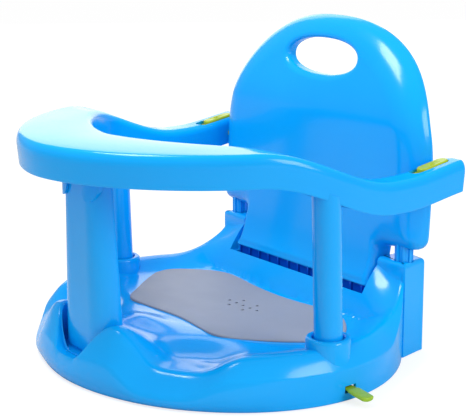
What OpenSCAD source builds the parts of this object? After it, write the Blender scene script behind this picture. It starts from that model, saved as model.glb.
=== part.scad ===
// Baby bath seat: a round base on suction cups, a plug-in backrest and a tray ring on two posts and a leg.
// The seat faces -Y, its width lies along X, and the floor is at Z = 0.

/* [Base] */
// Width of the base
base_w = 360; // [348:1:374]
// Depth of the base ahead of its widest line
base_front = 163; // [156:1:172]
// Place of the widest line along Y
base_mid_y = -8; // [-12:1:-4]
// Squareness of the base outline, where 2 is an ellipse
base_n = 1.92; // [1.85:0.01:2.1]
// Wall of the base
base_skin = 3; // [2.4:0.1:3.6]
// Height of the upright outer wall
edge_h = 28; // [24:1:32]
// Height of the rolled rim
crest_h = 44; // [40:1:48]
// Distance of the rim's top in from the outline
crest_in = 14; // [11:1:17]
// How far the front wall bulges past its foot
bulge = 5; // [2:0.5:7]
// Height of the seat floor under the pad
seat_h = 28; // [24:1:31]
// Rise of the seat floor from its middle to the pad's ends
dish = 3; // [0:0.5:5]
// Height of the lip ahead of the backrest
lip_h = 53.5; // [48:0.5:58]
// Place of the lip along Y
lip_y = 80; // [78:0.5:82]
// Height of the two rear pillars
pillar_h = 87; // [80:1:92]
// Rear face of the pillars
pillar_back_y = 131; // [127:1:136]
// Extra height of the humps beside the leg pocket
hump = 15; // [10:0.5:16]
// Depth of the scoop in the rim on each side, where the child's legs pass
scoop = 15; // [11:0.5:16]
// Height of the rim in the dip ahead of the leg's foot
notch_z = 24.5; // [24:0.5:27]
// Outer radius of the post collars
collar_r = 19.25; // [17.5:0.25:20.5]
// Height of the post collars
collar_h = 51.4; // [47:0.2:56]

/* [Seat pad] */
// Half width of the pad
pad_half_w = 138; // [126:1:142]
// Thickness of the pad
pad_t = 3; // [2:0.2:4]
// Diameter of a drain hole
drain_d = 3.2; // [2:0.2:4.5]
// Pitch of the drain holes
drain_pitch = 10.4; // [8:0.2:13]

/* [Posts] */
// Distance of a post's axis in from the widest point of the base
post_in = 21; // [20:0.5:24]
// Place of the posts along Y
post_y = -14; // [-18:1:-10]
// Radius of a post
post_r = 12.15; // [10.5:0.05:13]
// Wall of a post
post_wall = 2.5; // [1.8:0.1:3.5]
// Gap between a post and its collar
post_clear = 1.4; // [0.4:0.1:2]

/* [Tray ring] */
// Width of an arm of the ring
arm_w = 27; // [25:0.5:30]
// Front edge of the tray
tray_front = 197; // [188:1:206]
// Squareness of the tray's front
tray_n = 1.83; // [1.75:0.01:2.1]
// Front edge of the ring's opening
opening_front = 121; // [112:1:130]
// Squareness of the opening's front
opening_n = 1.51; // [1.45:0.01:1.8]
// Height of the flat tray top
tray_h = 212; // [204:1:220]
// How far the arms dip below the tray top
arm_dip = 36; // [28:1:42]
// Rise of the arms at their rear ends
arm_rise = 10; // [6:0.5:13]
// Height of the ring's side wall
ring_h = 28; // [25:0.5:32]
// Wall of the ring
ring_skin = 3; // [2.4:0.1:3.6]
// Rear ends of the arms
arm_end_y = 131; // [128:1:136]

/* [Backrest] */
// Height of the top of the backrest
back_top = 298; // [280:1:312]
// Width of the tongue between the pillars
tongue_w = 195; // [186:1:198]
// Bottom edge of the tongue
tongue_z = 62; // [60:0.5:64]
// Underside of the ears over the pillars
ear_z = 98; // [95:1:102]
// Width of the rolled edge, seen from the front
roll_w = 28; // [24:1:32]
// Depth of the rolled edge
roll_d = 20; // [16:0.5:22]
// Wall of the backrest
back_skin = 3; // [2.4:0.1:3.6]
// Width of the hand hole
hand_w = 98; // [84:1:106]
// Height of the hand hole
hand_h = 34; // [28:1:38]
// Height of the middle of the hand hole
hand_z = 258; // [250:1:262]
// Radius of a peg
peg_r = 8.5; // [7:0.25:9.5]
// Gap between a peg and its socket
peg_clear = 0.4; // [0.2:0.1:0.8]

/* [Front leg] */
// Width of the leg under the tray
leg_top_w = 56; // [50:1:62]
// Width of the leg at its foot
leg_foot_w = 76; // [70:1:82]
// Depth of the leg from its back to the ridge of its front
leg_d = 20; // [18:0.5:22]
// How far the leg leans forward at the tray
leg_lean = 3; // [0:0.5:3]
// Wall of the leg
leg_wall = 3; // [2.4:0.1:4]
// Place of the leg's back along Y
leg_y = -138; // [-142:0.5:-134]
// Gap round the leg's foot
leg_clear = 4.5; // [2:0.5:6]

/* [Latches] */
// Length of a latch button
button_l = 38; // [34:1:42]
// Width of a latch button
button_w = 12; // [10:0.5:13]
// How far a button stands proud of the arm
button_proud = 1.2; // [0.5:0.1:2]
// Travel of a latch
latch_travel = 5; // [3:0.5:6]
// Running gap of a latch
latch_gap = 0.4; // [0.3:0.05:0.6]
// Distance of the buttons' middle from the arms' rear ends
latch_in = 26; // [23:1:29]

/* [Suction cups] */
// Diameter of a suction cup
cup_d = 50; // [44:1:56]
// How far a release tab stands out of the base
tab_out = 23; // [16:1:28]

/* [Hidden] */
$fn = 48;
blue = [0.13, 0.62, 0.98];
lime = [0.69, 0.76, 0.22];
seat_gap = 0.3;
eps = 0.01;

// Plan places that follow from the sizes above
half_w = base_w / 2;
post_x = half_w - post_in;
arm_in = post_x - arm_w / 2;
arm_out = post_x + arm_w / 2;
back_half = arm_in - 2.5;
tongue_half = tongue_w / 2;
window_x = tongue_half + 1;
pillar_x = half_w - 51;
sweep_y = 42;
pillar_y = 102;
deck_y = lip_y + 17.5;

// A rise from 0 to 1 with level ends
function ease(t) = let (c = max(0, min(1, t))) c * c * (3 - 2 * c);
function mix(a, b, t) = a + (b - a) * t;

// One quadrant of a rounded outline of half sizes a and b, by the angle q
function round_x(q, a, n) = a * pow(abs(cos(q)), 2 / n) * sign(cos(q));
function round_y(q, b, n) = b * pow(abs(sin(q)), 2 / n) * sign(sin(q));

// Share of the way from the middle of the base to its outline
function base_share(x, y) =
    pow(pow(abs(x) / half_w, base_n) + pow(abs(y - base_mid_y) / base_front, base_n), 1 / base_n);
// Distance in from the outline, along a line to the middle
function base_inset(x, y) =
    let (f = max(0.02, base_share(x, y)))
    (1 - f) / f * norm([x, y - base_mid_y]);
// Half width of the base at y, ahead of the pillars
function base_half(y, inset = 0) = (half_w - inset)
    * pow(max(0, 1 - pow(abs(y - base_mid_y) / (base_front - inset), base_n)), 1 / base_n);

// Seat floor: a shallow dish, a leg channel on each side of the middle ridge
recess = 1.6;
channel_x = 92;
channel_y = -106;
function seat_floor(x, y) =
    let (channel = 8 * exp(-pow(norm([abs(x) - channel_x, y - channel_y]) / 36, 4)))
    let (ridge = 10 * exp(-pow(x / 27, 2)) * ease((-60 - y) / 40))
    seat_h + recess + dish * min(1.3, pow(x / pad_half_w, 2) + pow((y - 8) / 64, 2)) - channel + ridge;
// Height of the rim's crest, which sweeps up to the pillars and is scooped out for the legs
function crest_at(x, y) = crest_h + (pillar_h - crest_h)
    * (1 - sqrt(1 - pow(max(0, min(1, (y - sweep_y) / (pillar_y - sweep_y))), 2)))
    - scoop * exp(-pow((abs(x) - channel_x - 6) / 34, 4)) * ease((-70 - y) / 40);
// Slope in front of the backrest
slope_y = 68.5;
function rear_slope(y) = mix(seat_h + recess + dish, pillar_h,
    pow(max(0, min(1, (y - slope_y) / (pillar_y - 2 - slope_y))), 0.9));
// Height of the rim by its inset from the outline
function rim_height(x, y) =
    let (s = base_inset(x, y), top = crest_at(x, y))
    let (w = 1 - ease((abs(x) - window_x - 2) / 28))
    let (low = y > slope_y ? mix(seat_floor(x, y), rear_slope(y), w) : seat_floor(x, y))
    s < crest_in
        ? mix(edge_h, top, sin(90 * max(0, s) / crest_in))
        : mix(top, low, ease((s - crest_in) / 32));
function hump_at(x, y) = hump * exp(-pow(norm([abs(x) - leg_foot_w / 2 - 4, y - leg_y + 9]) / 30, 4));
// Height of the upper surface of the base
function base_top(x, y) =
    let (side = abs(x) > window_x - 0.3)
    y > pillar_y + 0.1 ? (side ? pillar_h : lip_h)
    : y > lip_y && !side ? lip_h
    : min(pillar_h, rim_height(x, y) + hump_at(x, y));

// Plan grid of the base: rows along Y, columns across X, with a column on each side of the window's edge
front_rows = 13;
row_angles = [for (i = [0:front_rows - 1]) mix(-87, -14, i / (front_rows - 1))];
side_rows = [-22, 2, 24, sweep_y, 56, slope_y, lip_y, 88, 95, pillar_y];
step = 0.4;
// Rows behind the pillars' front: place for the upper and the lower sheet, height from ahead or not, width share
rear_rows = [[pillar_y + step, pillar_y + 3, false, 1], [pillar_y + 7, pillar_y + 3 + step, true, 1],
    [pillar_back_y - 5, pillar_back_y - 8, true, 0.975], [pillar_back_y, pillar_back_y - 3, true, 0.945]];
inner_cols = [0, 0.2, 0.4, 0.6, 0.8, 1];
outer_cols = [0.2, 0.42, 0.64, 0.84, 1];
columns = concat([for (i = [len(outer_cols) - 1:-1:0]) -1 - outer_cols[i]], [-1.001],
    [for (i = [len(inner_cols) - 1:-1:1]) -inner_cols[i]], inner_cols, [1.001],
    [for (c = outer_cols) 1 + c]);
// Each row is its y, its half width and the y that gives its heights
function base_rows(inset) = concat(
    [for (q = row_angles) let (y = base_mid_y + round_y(q, base_front - inset, base_n))
        [y, round_x(q, half_w - inset, base_n), y]],
    [for (y = side_rows) [y, base_half(y, inset), y]],
    [for (r = rear_rows) let (y = inset > 0 ? r[1] : r[0])
        [y, base_half(pillar_y) * r[3] - inset, inset > 0 && !r[2] ? pillar_y : pillar_y + 1]]);
wide_y = 58;
function column_x(c, half, y, shift) =
    let (share = y > wide_y ? 1 : half / base_half(wide_y), edge = min(window_x * share + shift, half - 2))
    let (a = abs(c), x = a <= 1 ? (edge - step) * a : mix(edge, half, max(0, a - 1.001) / 0.999))
    sign(c) * x;
// The rear wall bows out a little between the pillars
function bow(x, y, half) = y > pillar_y ? rear_bow * (y - pillar_y) / (pillar_back_y - pillar_y)
    * (1 - pow(x / half, 2)) : 0;
function base_sheet(inset, shift, drop) = [for (r = base_rows(inset)) [for (c = columns)
    let (x = column_x(c, r[1], r[0], shift), plain = x - sign(x) * shift)
    let (z = base_top(abs(c) < 1.002 ? plain : x, r[2]))
    [x, r[0] + bow(x, r[0], r[1]), min(z, drop > 0 && abs(c) <= 1 ? under_cap : pillar_h) - drop]]];
// Height of the underside
function under(x, y) = min(base_top(x, y), under_cap) - under_drop;

// A closed solid from an upper grid, rings round its edge and a lower grid of the same size
function flat(rows) = [for (r = rows) for (p = r) p];
function rim_index(n, m) = concat([for (i = [0:n - 1]) i], [for (j = [0:m - 1]) n + j * (n + 1)],
    [for (i = [n:-1:1]) m * (n + 1) + i], [for (j = [m:-1:1]) j * (n + 1)]);
module grid_solid(upper, rings, lower) {
    n = len(upper[0]) - 1;
    m = len(upper) - 1;
    edge = rim_index(n, m);
    k = len(edge);
    size = (n + 1) * (m + 1);
    top = flat(upper);
    loops = [for (ring = rings) [for (e = edge) ring(top[e])]];
    below = size + len(rings) * k;
    function level(r) = r == 0 ? edge
        : r <= len(rings) ? [for (i = [0:k - 1]) size + (r - 1) * k + i]
        : [for (e = edge) below + e];
    walls = [for (r = [0:len(rings)]) let (a = level(r), b = level(r + 1)) for (i = [0:k - 1])
        let (j = (i + 1) % k) each [[a[i], a[j], b[i]], [a[j], b[j], b[i]]]];
    function sheet(base, flip) = [for (j = [0:m - 1]) for (i = [0:n - 1])
        let (a = base + j * (n + 1) + i, b = a + 1, c = b + n + 1, d = a + n + 1)
        each flip ? [[a, b, c], [a, c, d]] : [[a, c, b], [a, d, c]]];
    polyhedron(concat(top, flat(loops), flat(lower)),
        concat(sheet(0, false), walls, sheet(below, true)), convexity = 8);
}

// How far the outer wall stands out at a point of the outline: only the front bulges
function bulge_at(p) = bulge * ease((-p[1] - 40) / 70);
function pushed(p, d, z) = let (v = [p[0], p[1] - base_mid_y], u = v / norm(v)) [p[0] + u[0] * d, p[1] + u[1] * d, z];
under_cap = 48;
under_drop = base_skin + 1;
module base_shell() {
    rings = [
        function (p) pushed(p, bulge_at(p) * 0.8, mix(edge_h * 0.85, p[2], p[1] > 60 ? 0.6 : 0)),
        function (p) pushed(p, bulge_at(p), edge_h * 0.5),
        function (p) pushed(p, bulge_at(p) * 0.6, edge_h * 0.22),
        function (p) pushed(p, 0, 0),
        function (p) pushed(p, -base_skin, 0)];
    grid_solid(base_sheet(0, 0, 0), rings, base_sheet(base_skin, base_skin, under_drop));
}

// Section of the leg ahead of its back: straight sides, round corners, and a front that rises to a middle ridge
function leg_half(w, d) = [[w / 2, 0], [w / 2, d * 0.45], [w / 2 - 1, d * 0.61], [w / 2 - 3.4, d * 0.72],
    [w / 2 - 7, d * 0.78], [w / 4, d * 0.88]];
function leg_front(w, d) = let (right = leg_half(w, d)) concat(right, [[0, d]],
    [for (i = [len(right) - 1:-1:0]) [-right[i][0], right[i][1]]]);
// Plan of the leg's foot grown by a gap
function leg_plan(grow) = concat(
    [for (p = leg_front(leg_foot_w + 2 * grow, leg_d + grow)) [p[0], leg_y - p[1]]],
    [[-leg_foot_w / 2 - grow, leg_y + grow], [leg_foot_w / 2 + grow, leg_y + grow]]);
pocket_z = 23;
leg_foot_z = pocket_z + 2 + seat_gap;
reach = leg_foot_w / 2 + leg_clear + base_skin;
module pocket_wall() {
    intersection() {
        union() {
            translate([0, 0, pocket_z - 2]) linear_extrude(crest_h + hump) polygon(leg_plan(leg_clear + base_skin));
            translate([-reach, leg_y - leg_d - 18, pocket_z - 2]) cube([2 * reach, 20, 24]);
        }
        under_patch(-reach - 4, reach + 4, leg_y - leg_d - 18, leg_y + 14);
    }
}
// The rim dips ahead of the pocket, so that the leg's foot shows
module pocket_notch() {
    half = leg_foot_w / 2 + leg_clear;
    curve = [for (i = [-12:12]) let (x = half * i / 12)
        [x, notch_z + (crest_h + hump + 2 - notch_z) * ease((abs(x) - 11) / (half - 12))]];
    translate([0, leg_y - leg_d - leg_clear + 3, 0]) rotate([90, 0, 0]) linear_extrude(40)
        polygon(concat(curve, [[half, 2 * crest_h], [-half, 2 * crest_h]]));
}
// The space under the upper surface over a rectangle of the plan
module under_patch(x0, x1, y0, y1) {
    nx = 16;
    ny = 12;
    top = [for (j = [0:ny]) [for (i = [0:nx])
        let (x = mix(x0, x1, i / nx), y = mix(y0, y1, j / ny))
        [x, y, base_inset(x, y) < 0 ? edge_h * (1 + base_inset(x, y) / 20) : base_top(x, y)]]];
    low = [for (r = top) [for (p = r) [p[0], p[1], 2]]];
    grid_solid(top, [], low);
}

// The measures above count from the middle of the seat; the origin lies in the middle of the whole depth
rear_bow = 9;
rear_wall_y = pillar_back_y + rear_bow * 0.7;
origin_y = (tray_front - rear_wall_y - tab_out) / 2;
module placed() {
    translate([0, origin_y, 0]) children();
}

// Both sides of the object carry the same parts
module both() {
    children();
    mirror([1, 0, 0]) children();
}

// Suction cups: two at the sides, two at the rear, each with a stem in a boss under the base
side_cup = [post_x - 16, post_y + 7];
rear_cup = [72, 92];
stem_r = 5;
stem_top = 16;
boss_z = 10;
module cup_boss(at) {
    translate([at[0], at[1], boss_z]) difference() {
        cylinder(r = stem_r + 4, h = under(at[0], at[1]) + 2 - boss_z);
        translate([0, 0, -1]) cylinder(r = stem_r + seat_gap, h = stem_top + seat_gap + 1 - boss_z);
    }
}
// Release tabs: a strip from the cup's edge, out through a slot in the wall
tab_w = 10;
tab_t = 2.4;
tab_z = 8.5;
side_wall_x = half_w;
module tab_slot(at, wall, angle) {
    translate([at[0], at[1], 0]) rotate([0, 0, angle])
        translate([wall - 14, -tab_w / 2 - 1, tab_z - 2]) cube([28, tab_w + 2, tab_t + 4]);
}

// Post collar: an outer boss and a blind bore
bore_z = 20;
post_lean = 1.8;
module collar() {
    translate([post_x, post_y, bore_z - 3]) cylinder(r = collar_r, h = collar_h - bore_z + 3);
}
module post_place() {
    translate([post_x, post_y, collar_h]) rotate([post_lean, 0, 0]) translate([0, 0, -collar_h]) children();
}
module collar_bore() {
    post_place() translate([0, 0, bore_z]) cylinder(r = post_r + post_clear, h = collar_h);
}

// Peg socket in a pillar
peg_x = (window_x + pillar_x) / 2 + 6;
peg_y = pillar_y + 8.5;
peg_z = 50;
module peg_socket() {
    translate([peg_x, peg_y, peg_z - 4]) cylinder(r = peg_r + peg_clear + 2.2, h = pillar_h - peg_z + 3);
}

// Drain holes: a row of five, one ahead of and one behind the second and fourth
drain_at = [0, 20];
drain_side = 0.83;
drain_spots = concat([for (i = [-2:2]) [i * drain_pitch, 0]],
    [for (i = [-1, 1], j = [-1, 1]) [i * drain_pitch, j * drain_pitch * drain_side]]);
module drain_holes(d) {
    for (p = drain_spots) translate([drain_at[0] + p[0], drain_at[1] + p[1], 5])
        cylinder(d = d, h = 60, $fn = 24);
}

module base() {
    placed() color(blue) difference() {
        union() {
            base_shell();
            pocket_wall();
            both() collar();
            both() cup_boss(side_cup);
            both() cup_boss(rear_cup);
            both() peg_socket();
        }
        translate([0, 0, pocket_z]) linear_extrude(crest_h + hump)
            polygon(leg_plan(leg_clear));
        pocket_notch();
        both() collar_bore();
        both() translate([peg_x, peg_y, peg_z]) cylinder(r = peg_r + peg_clear, h = pillar_h);
        translate([-window_x + 2.5, lip_y + 1, crest_h - 10]) cube([2 * window_x - 5, deck_y - lip_y, 40]);
        both() tab_slot(side_cup, side_wall_x - side_cup[0], 0);
        both() tab_slot(rear_cup, rear_wall_y - rear_cup[1], 90);
        drain_holes(drain_d + 1);
        pad_recess();
    }
}

// Pad outline: a bean with its hollow towards the front
function pad_edge(q) = let (c = cos(q), s = sin(q))
    s < 0 ? [pad_half_w * sign(c) * pow(abs(c), 0.95), 15 + 78 * s * (0.62 + 0.38 * exp(-pow((abs(c) - 0.45) / 0.28, 2)) )]
          : [pad_half_w * sign(c) * pow(abs(c), 0.9), 15 + 53 * pow(s, 0.85)];
pad_rings = [1, 0.98, 0.75, 0.45];
pad_sides = 36;
pad_drop = 0.8;
function pad_loops(grow) = [for (t = pad_rings) [for (i = [0:pad_sides - 1])
    let (e = pad_edge(360 * (i + 0.5) / pad_sides) * t + [0, 15 * (1 - t)], v = e - [0, 15])
    e + (t > 0.9 ? grow : 0) * v / norm(v)]];
// Heights of the pad's loops, from the inner one out
function pad_sheet(loops, z, drop) = [for (k = [len(loops) - 1:-1:0]) [for (p = loops[k])
    [p[0], p[1], z - (k == 0 ? drop : 0)
        + dish * (pow(p[0] / pad_half_w, 2) + pow((p[1] - 8) / 64, 2))]]];
// Recess in the seat floor that the pad lies in
module pad_recess() {
    loops = pad_loops(0.4);
    low = pad_sheet(loops, seat_h, 0);
    top = [for (k = [len(low) - 1:-1:0]) [for (p = low[k]) [p[0], p[1], 2 * seat_h]]];
    lofted(concat(low, top));
}
module seat_pad() {
    loops = pad_loops(0);
    low = pad_sheet(loops, seat_h + seat_gap, 0);
    above = pad_sheet(loops, seat_h + seat_gap + pad_t, pad_drop);
    top = [for (k = [len(above) - 1:-1:0]) above[k]];
    placed() color([0.6, 0.64, 0.7]) difference() {
        lofted(concat(low, top));
        drain_holes(drain_d);
    }
}

// A closed solid through rings of the same count, with flat ends
// A folded ring runs out along one face and back along the other, as in a channel
module lofted(rings, folded = false) {
    k = len(rings[0]);
    m = len(rings);
    end = (m - 1) * k;
    walls = [for (r = [0:m - 2]) for (i = [0:k - 1]) let (j = (i + 1) % k, a = r * k, b = a + k)
        each [[a + i, b + i, a + j], [a + j, b + i, b + j]]];
    cap = folded
        ? [for (i = [0:k / 2 - 2]) each [[i, i + 1, k - 1 - i], [i + 1, k - 2 - i, k - 1 - i]]]
        : [for (i = [1:k - 2]) [0, i, i + 1]];
    first = cap;
    last = [for (t = cap) [end + t[0], end + t[2], end + t[1]]];
    polyhedron(flat(rings), concat(walls, first, last), convexity = 8);
}

// Height of the ring's top by its place along Y: flat tray, a dip over the posts, a rise at the rear ends
dip_from = -80;
dip_to = 50;
rise_from = 62;
rise_to = 150;
function ring_top(y) = tray_h - arm_dip * ease((y - dip_from) / (dip_to - dip_from))
    + arm_rise * ease((y - rise_from) / (rise_to - rise_from));
ring_mid_y = 0;
opening_mid_y = -19;
arm_rows = [arm_end_y, 126, 110, 92, 76, 60, 44, 30, 18, 8];
front_steps = 17;
// Stations of the ring from the right arm's end to the left: each an outer and an inner point of the plan
half_ring = concat(
    [for (y = arm_rows) [[arm_out, y], [arm_in, y - (arm_end_y - y) * 0.12]]],
    [for (i = [0:front_steps]) let (q = 90 * i / front_steps)
        [[round_x(q, arm_out, tray_n), ring_mid_y - round_y(q, tray_front + ring_mid_y, tray_n)],
         [round_x(q, arm_in, opening_n), opening_mid_y - round_y(q, opening_front + opening_mid_y, opening_n)]]]);
ring_stations = concat(half_ring,
    [for (i = [len(half_ring) - 2:-1:0]) [for (p = half_ring[i]) [-p[0], p[1]]]]);
// Section of the ring: distance in from the outer or the inner edge, and drop below the top
outer_edge = [[1.6, ring_h], [0, ring_h - 3], [0, 4], [1.2, 1.2], [4, 0]];
inner_edge = [[7, 0], [2, 1.8], [0, 7], [0.8, ring_h]];
outer_core = [[ring_skin + 1.6, ring_h], [ring_skin, ring_h - 3], [ring_skin, 6], [ring_skin + 1, ring_skin + 1],
    [ring_skin + 2, ring_skin]];
inner_core = [[ring_skin + 5, ring_skin], [ring_skin + 1, ring_skin + 2], [ring_skin, 9], [ring_skin + 0.8, ring_h]];
function ring_point(from, to, e) =
    let (u = (to - from) / norm(to - from), p = from + u * e[0])
    [p[0], p[1], ring_top(p[1]) - e[1]];
function ring_section(st) = concat(
    [for (e = outer_edge) ring_point(st[0], st[1], e)], [for (e = inner_edge) ring_point(st[1], st[0], e)],
    [for (i = [len(inner_core) - 1:-1:0]) ring_point(st[1], st[0], inner_core[i])],
    [for (i = [len(outer_core) - 1:-1:0]) ring_point(st[0], st[1], outer_core[i])]);

// A prism across an arm whose top and bottom run at given depths below the ring's top
module arm_block(x0, x1, y0, y1, top_in, low_in) {
    steps = 4;
    upper = [for (i = [0:steps]) let (y = mix(y0, y1, i / steps)) [y, ring_top(y) - top_in]];
    lower = [for (i = [steps:-1:0]) let (y = mix(y0, y1, i / steps)) [y, ring_top(y) - low_in]];
    translate([x0, 0, 0]) rotate([90, 0, 90]) linear_extrude(x1 - x0) polygon(concat(upper, lower));
}

// Post: a tube up to the arm's underside, with a thinner spigot up into the arm
spigot_r = arm_w / 2 - ring_skin - 1.6;
spigot_rise = 16;
post_foot = bore_z + seat_gap;
post_head = ring_top(post_y) - ring_h;
module post() {
    placed() color(blue) difference() {
        union() {
            difference() {
                post_place() translate([0, 0, post_foot]) cylinder(r = post_r, h = post_head + 14 - post_foot);
                arm_block(post_x - 20, post_x + 20, post_y - 34, post_y + 24, -30, ring_h + seat_gap);
            }
            post_place() translate([0, 0, post_head - 30]) cylinder(r = spigot_r, h = 30 + spigot_rise);
        }
        post_place() translate([0, 0, post_foot - 1])
            cylinder(r = spigot_r - post_wall, h = post_head + spigot_rise - post_foot - 1);
        post_place() translate([0, 0, post_foot - 1])
            cylinder(r = post_r - post_wall, h = post_head - 24 - post_foot);
    }
}
module post_right() {
    post();
}
module post_left() {
    mirror([1, 0, 0]) post();
}

// Front leg: a tapered channel, open at the back, that leans a little forward
leg_top_z = tray_h - ring_skin - seat_gap;
function leg_share(z) = (z - leg_foot_z) / (tray_h - ring_h - leg_foot_z);
function leg_w_at(z) = mix(leg_foot_w, leg_top_w, leg_share(z));
function leg_d_at(z) = leg_d - 2.5 * leg_share(z);
function leg_y_at(z) = leg_y - leg_lean * leg_share(z);
function leg_ring(z) =
    let (outer = leg_front(leg_w_at(z), leg_d_at(z)))
    let (inner = leg_front(leg_w_at(z) - 2 * leg_wall, leg_d_at(z) - leg_wall), y = leg_y_at(z))
    concat([for (p = outer) [-p[0], y - p[1], z]],
        [for (i = [len(inner) - 1:-1:0]) [-inner[i][0], y - inner[i][1], z]]);
module front_leg() {
    placed() color(blue) lofted([for (z = [leg_foot_z, leg_top_z]) leg_ring(z)], true);
}

// Two lugs under the tray hold the leg's flanks
lug_z = tray_h - ring_h - 18;
lug_x = 17;
lug_r = 11;
module leg_lugs() {
    w = leg_w_at(lug_z) + 2 * seat_gap;
    d = leg_d_at(lug_z) + seat_gap;
    function lug_plan(grow) = [for (p = leg_front(w + 2 * grow, d + grow)) [p[0], leg_y_at(lug_z) - p[1]]];
    for (side = [0, 1]) mirror([side, 0, 0]) intersection() {
        translate([0, 0, lug_z]) linear_extrude(tray_h - 1 - lug_z) difference() {
            polygon(lug_plan(2));
            polygon(lug_plan(0));
        }
        union() {
            translate([lug_x - lug_r, leg_y - 40, lug_z + lug_r]) cube([2 * lug_r, 36, 60]);
            translate([lug_x, leg_y - 40, lug_z + lug_r]) rotate([-90, 0, 0]) cylinder(r = lug_r, h = 36);
        }
    }
}

// Latch: a slide with a button up through the arm and a tongue through its inner wall
latch_x = post_x - 3.5;
latch_y = arm_end_y - latch_in;
arm_slope = atan((ring_top(latch_y + 5) - ring_top(latch_y - 5)) / 10);
latch_z = ring_top(latch_y);
module latch_place() {
    translate([latch_x, latch_y, latch_z]) rotate([arm_slope, 0, 0]) children();
}
slide_w = 15;
slide_front = button_l / 2 + 2.5;
slide_rear = button_l / 2 + 0.5;
slide_l = slide_front + slide_rear;
slide_h = 15;
slide_top = -ring_skin - latch_gap;
tongue_reach = latch_x - back_half + 2;
tongue_y = 6;
tongue_t = 5;
module latch_right_body() {
    placed() latch_place() color(lime) difference() {
        union() {
            translate([-button_w / 2, -button_l / 2, slide_top - 1])
                cube([button_w, button_l, button_proud - slide_top + 1]);
            translate([-button_w / 2, -2, button_proud - 1]) cube([button_w, 4, 2.2]);
            translate([-slide_w / 2, -slide_front, slide_top - slide_h]) cube([slide_w, slide_l, slide_h]);
            translate([-tongue_reach, tongue_y, slide_top - slide_h])
                cube([tongue_reach, tongue_t, 4]);
        }
        translate([-slide_w / 2 + 2, -slide_front + 2, slide_top - slide_h - 1])
            cube([slide_w - 4, slide_l - 4, slide_h - 2]);
    }
}
module latch_right() {
    latch_right_body();
}
module latch_left() {
    mirror([1, 0, 0]) latch_right_body();
}
module latch_cuts() {
    latch_place() {
        translate([-button_w / 2 - latch_gap, -button_l / 2 - latch_travel - latch_gap, -12])
            cube([button_w + 2 * latch_gap, button_l + latch_travel + 2 * latch_gap, 24]);
        translate([-slide_w / 2 - latch_gap, -slide_front - latch_travel - latch_gap, -40])
            cube([slide_w + 2 * latch_gap, slide_l + latch_travel + 2 * latch_gap, 40 - ring_skin]);
        translate([-tongue_reach - 4, tongue_y - latch_travel - latch_gap, slide_top - slide_h - latch_gap])
            cube([tongue_reach, tongue_t + latch_travel + 2 * latch_gap, 4 + 2 * latch_gap]);
    }
}

// Return spring ahead of the slide, between it and a wall in the arm
spring_r = 3;
wire_r = 0.45;
spring_l = 16;
spring_turns = 6;
module spring_right_body() {
    steps = spring_turns * 8;
    sides = 6;
    loops = [for (i = [0:steps]) let (q = 360 * i / 8, y = mix(wire_r, spring_l - wire_r, i / steps))
        [for (j = [0:sides - 1]) let (v = 360 * j / sides, r = spring_r - wire_r + wire_r * cos(v))
            [r * cos(q), y + wire_r * sin(v), r * sin(q)]]];
    placed() latch_place() translate([0, -slide_front - spring_l - 0.2, slide_top - slide_h / 2])
        color([0.75, 0.76, 0.78]) lofted(loops);
}
module latch_spring_right() {
    spring_right_body();
}
module latch_spring_left() {
    mirror([1, 0, 0]) spring_right_body();
}

// Cover plate that closes the arm under the slide, hooked at the rear and screwed at the front
cover_t = 2.4;
cover_drop = slide_top - slide_h - latch_gap;
cover_l = slide_l + spring_l + 20;
screw_y = -slide_front - spring_l - 12;
screw_r = 1.5;
cover_half_w = arm_w / 2 - ring_skin - 0.8 - seat_gap;
cover_x = post_x - latch_x;
module cover_right_body() {
    placed() color(blue) latch_place() difference() {
        translate([cover_x - cover_half_w, slide_rear - cover_l, cover_drop - cover_t])
            cube([2 * cover_half_w - 1.2, cover_l, cover_t]);
        translate([cover_x, screw_y, cover_drop - cover_t - 1]) cylinder(r = screw_r + 0.3, h = 10);
    }
}
module latch_cover_right() {
    cover_right_body();
}
module latch_cover_left() {
    mirror([1, 0, 0]) cover_right_body();
}
module screw_boss() {
    latch_place() translate([cover_x, screw_y, cover_drop]) difference() {
        cylinder(r = 4, h = 1.5 - cover_drop);
        translate([0, 0, -1]) cylinder(r = screw_r, h = 10);
    }
}
module cover_screws() {
    placed() color([0.75, 0.76, 0.78]) both() latch_place() translate([cover_x, screw_y, cover_drop - cover_t])
        difference() {
            union() {
                translate([0, 0, -1.6]) cylinder(r = 3, h = 1.6);
                translate([0, 0, -0.1]) cylinder(r = screw_r, h = cover_t + 8);
            }
            translate([-2.2, -0.4, -2.6]) cube([4.4, 0.8, 1.8]);
            translate([-0.4, -2.2, -2.6]) cube([0.8, 4.4, 1.8]);
        }
}

module tray_ring() {
    placed() color(blue) difference() {
        union() {
            lofted([for (st = ring_stations) ring_section(st)], true);
            both() arm_block(arm_in + 0.8, arm_out - 1.6, arm_end_y - ring_skin, arm_end_y, 0.8, ring_h - 0.5);
            both() arm_block(arm_in + 1.5, arm_out - 2, post_y - 16, post_y + 16, 1, ring_h - 0.5);
            both() arm_block(arm_in + 1.5, arm_out - 2, spring_wall_y - 1.5, spring_wall_y + 1.5, 1, 17);
            both() screw_boss();
            leg_lugs();
        }
        both() latch_cuts();
        both() post_place() translate([0, 0, post_head - 30])
            cylinder(r = spigot_r + 0.2, h = 30 + spigot_rise + seat_gap);
    }
}
spring_wall_y = latch_y - slide_front - spring_l - 2.2;

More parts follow.
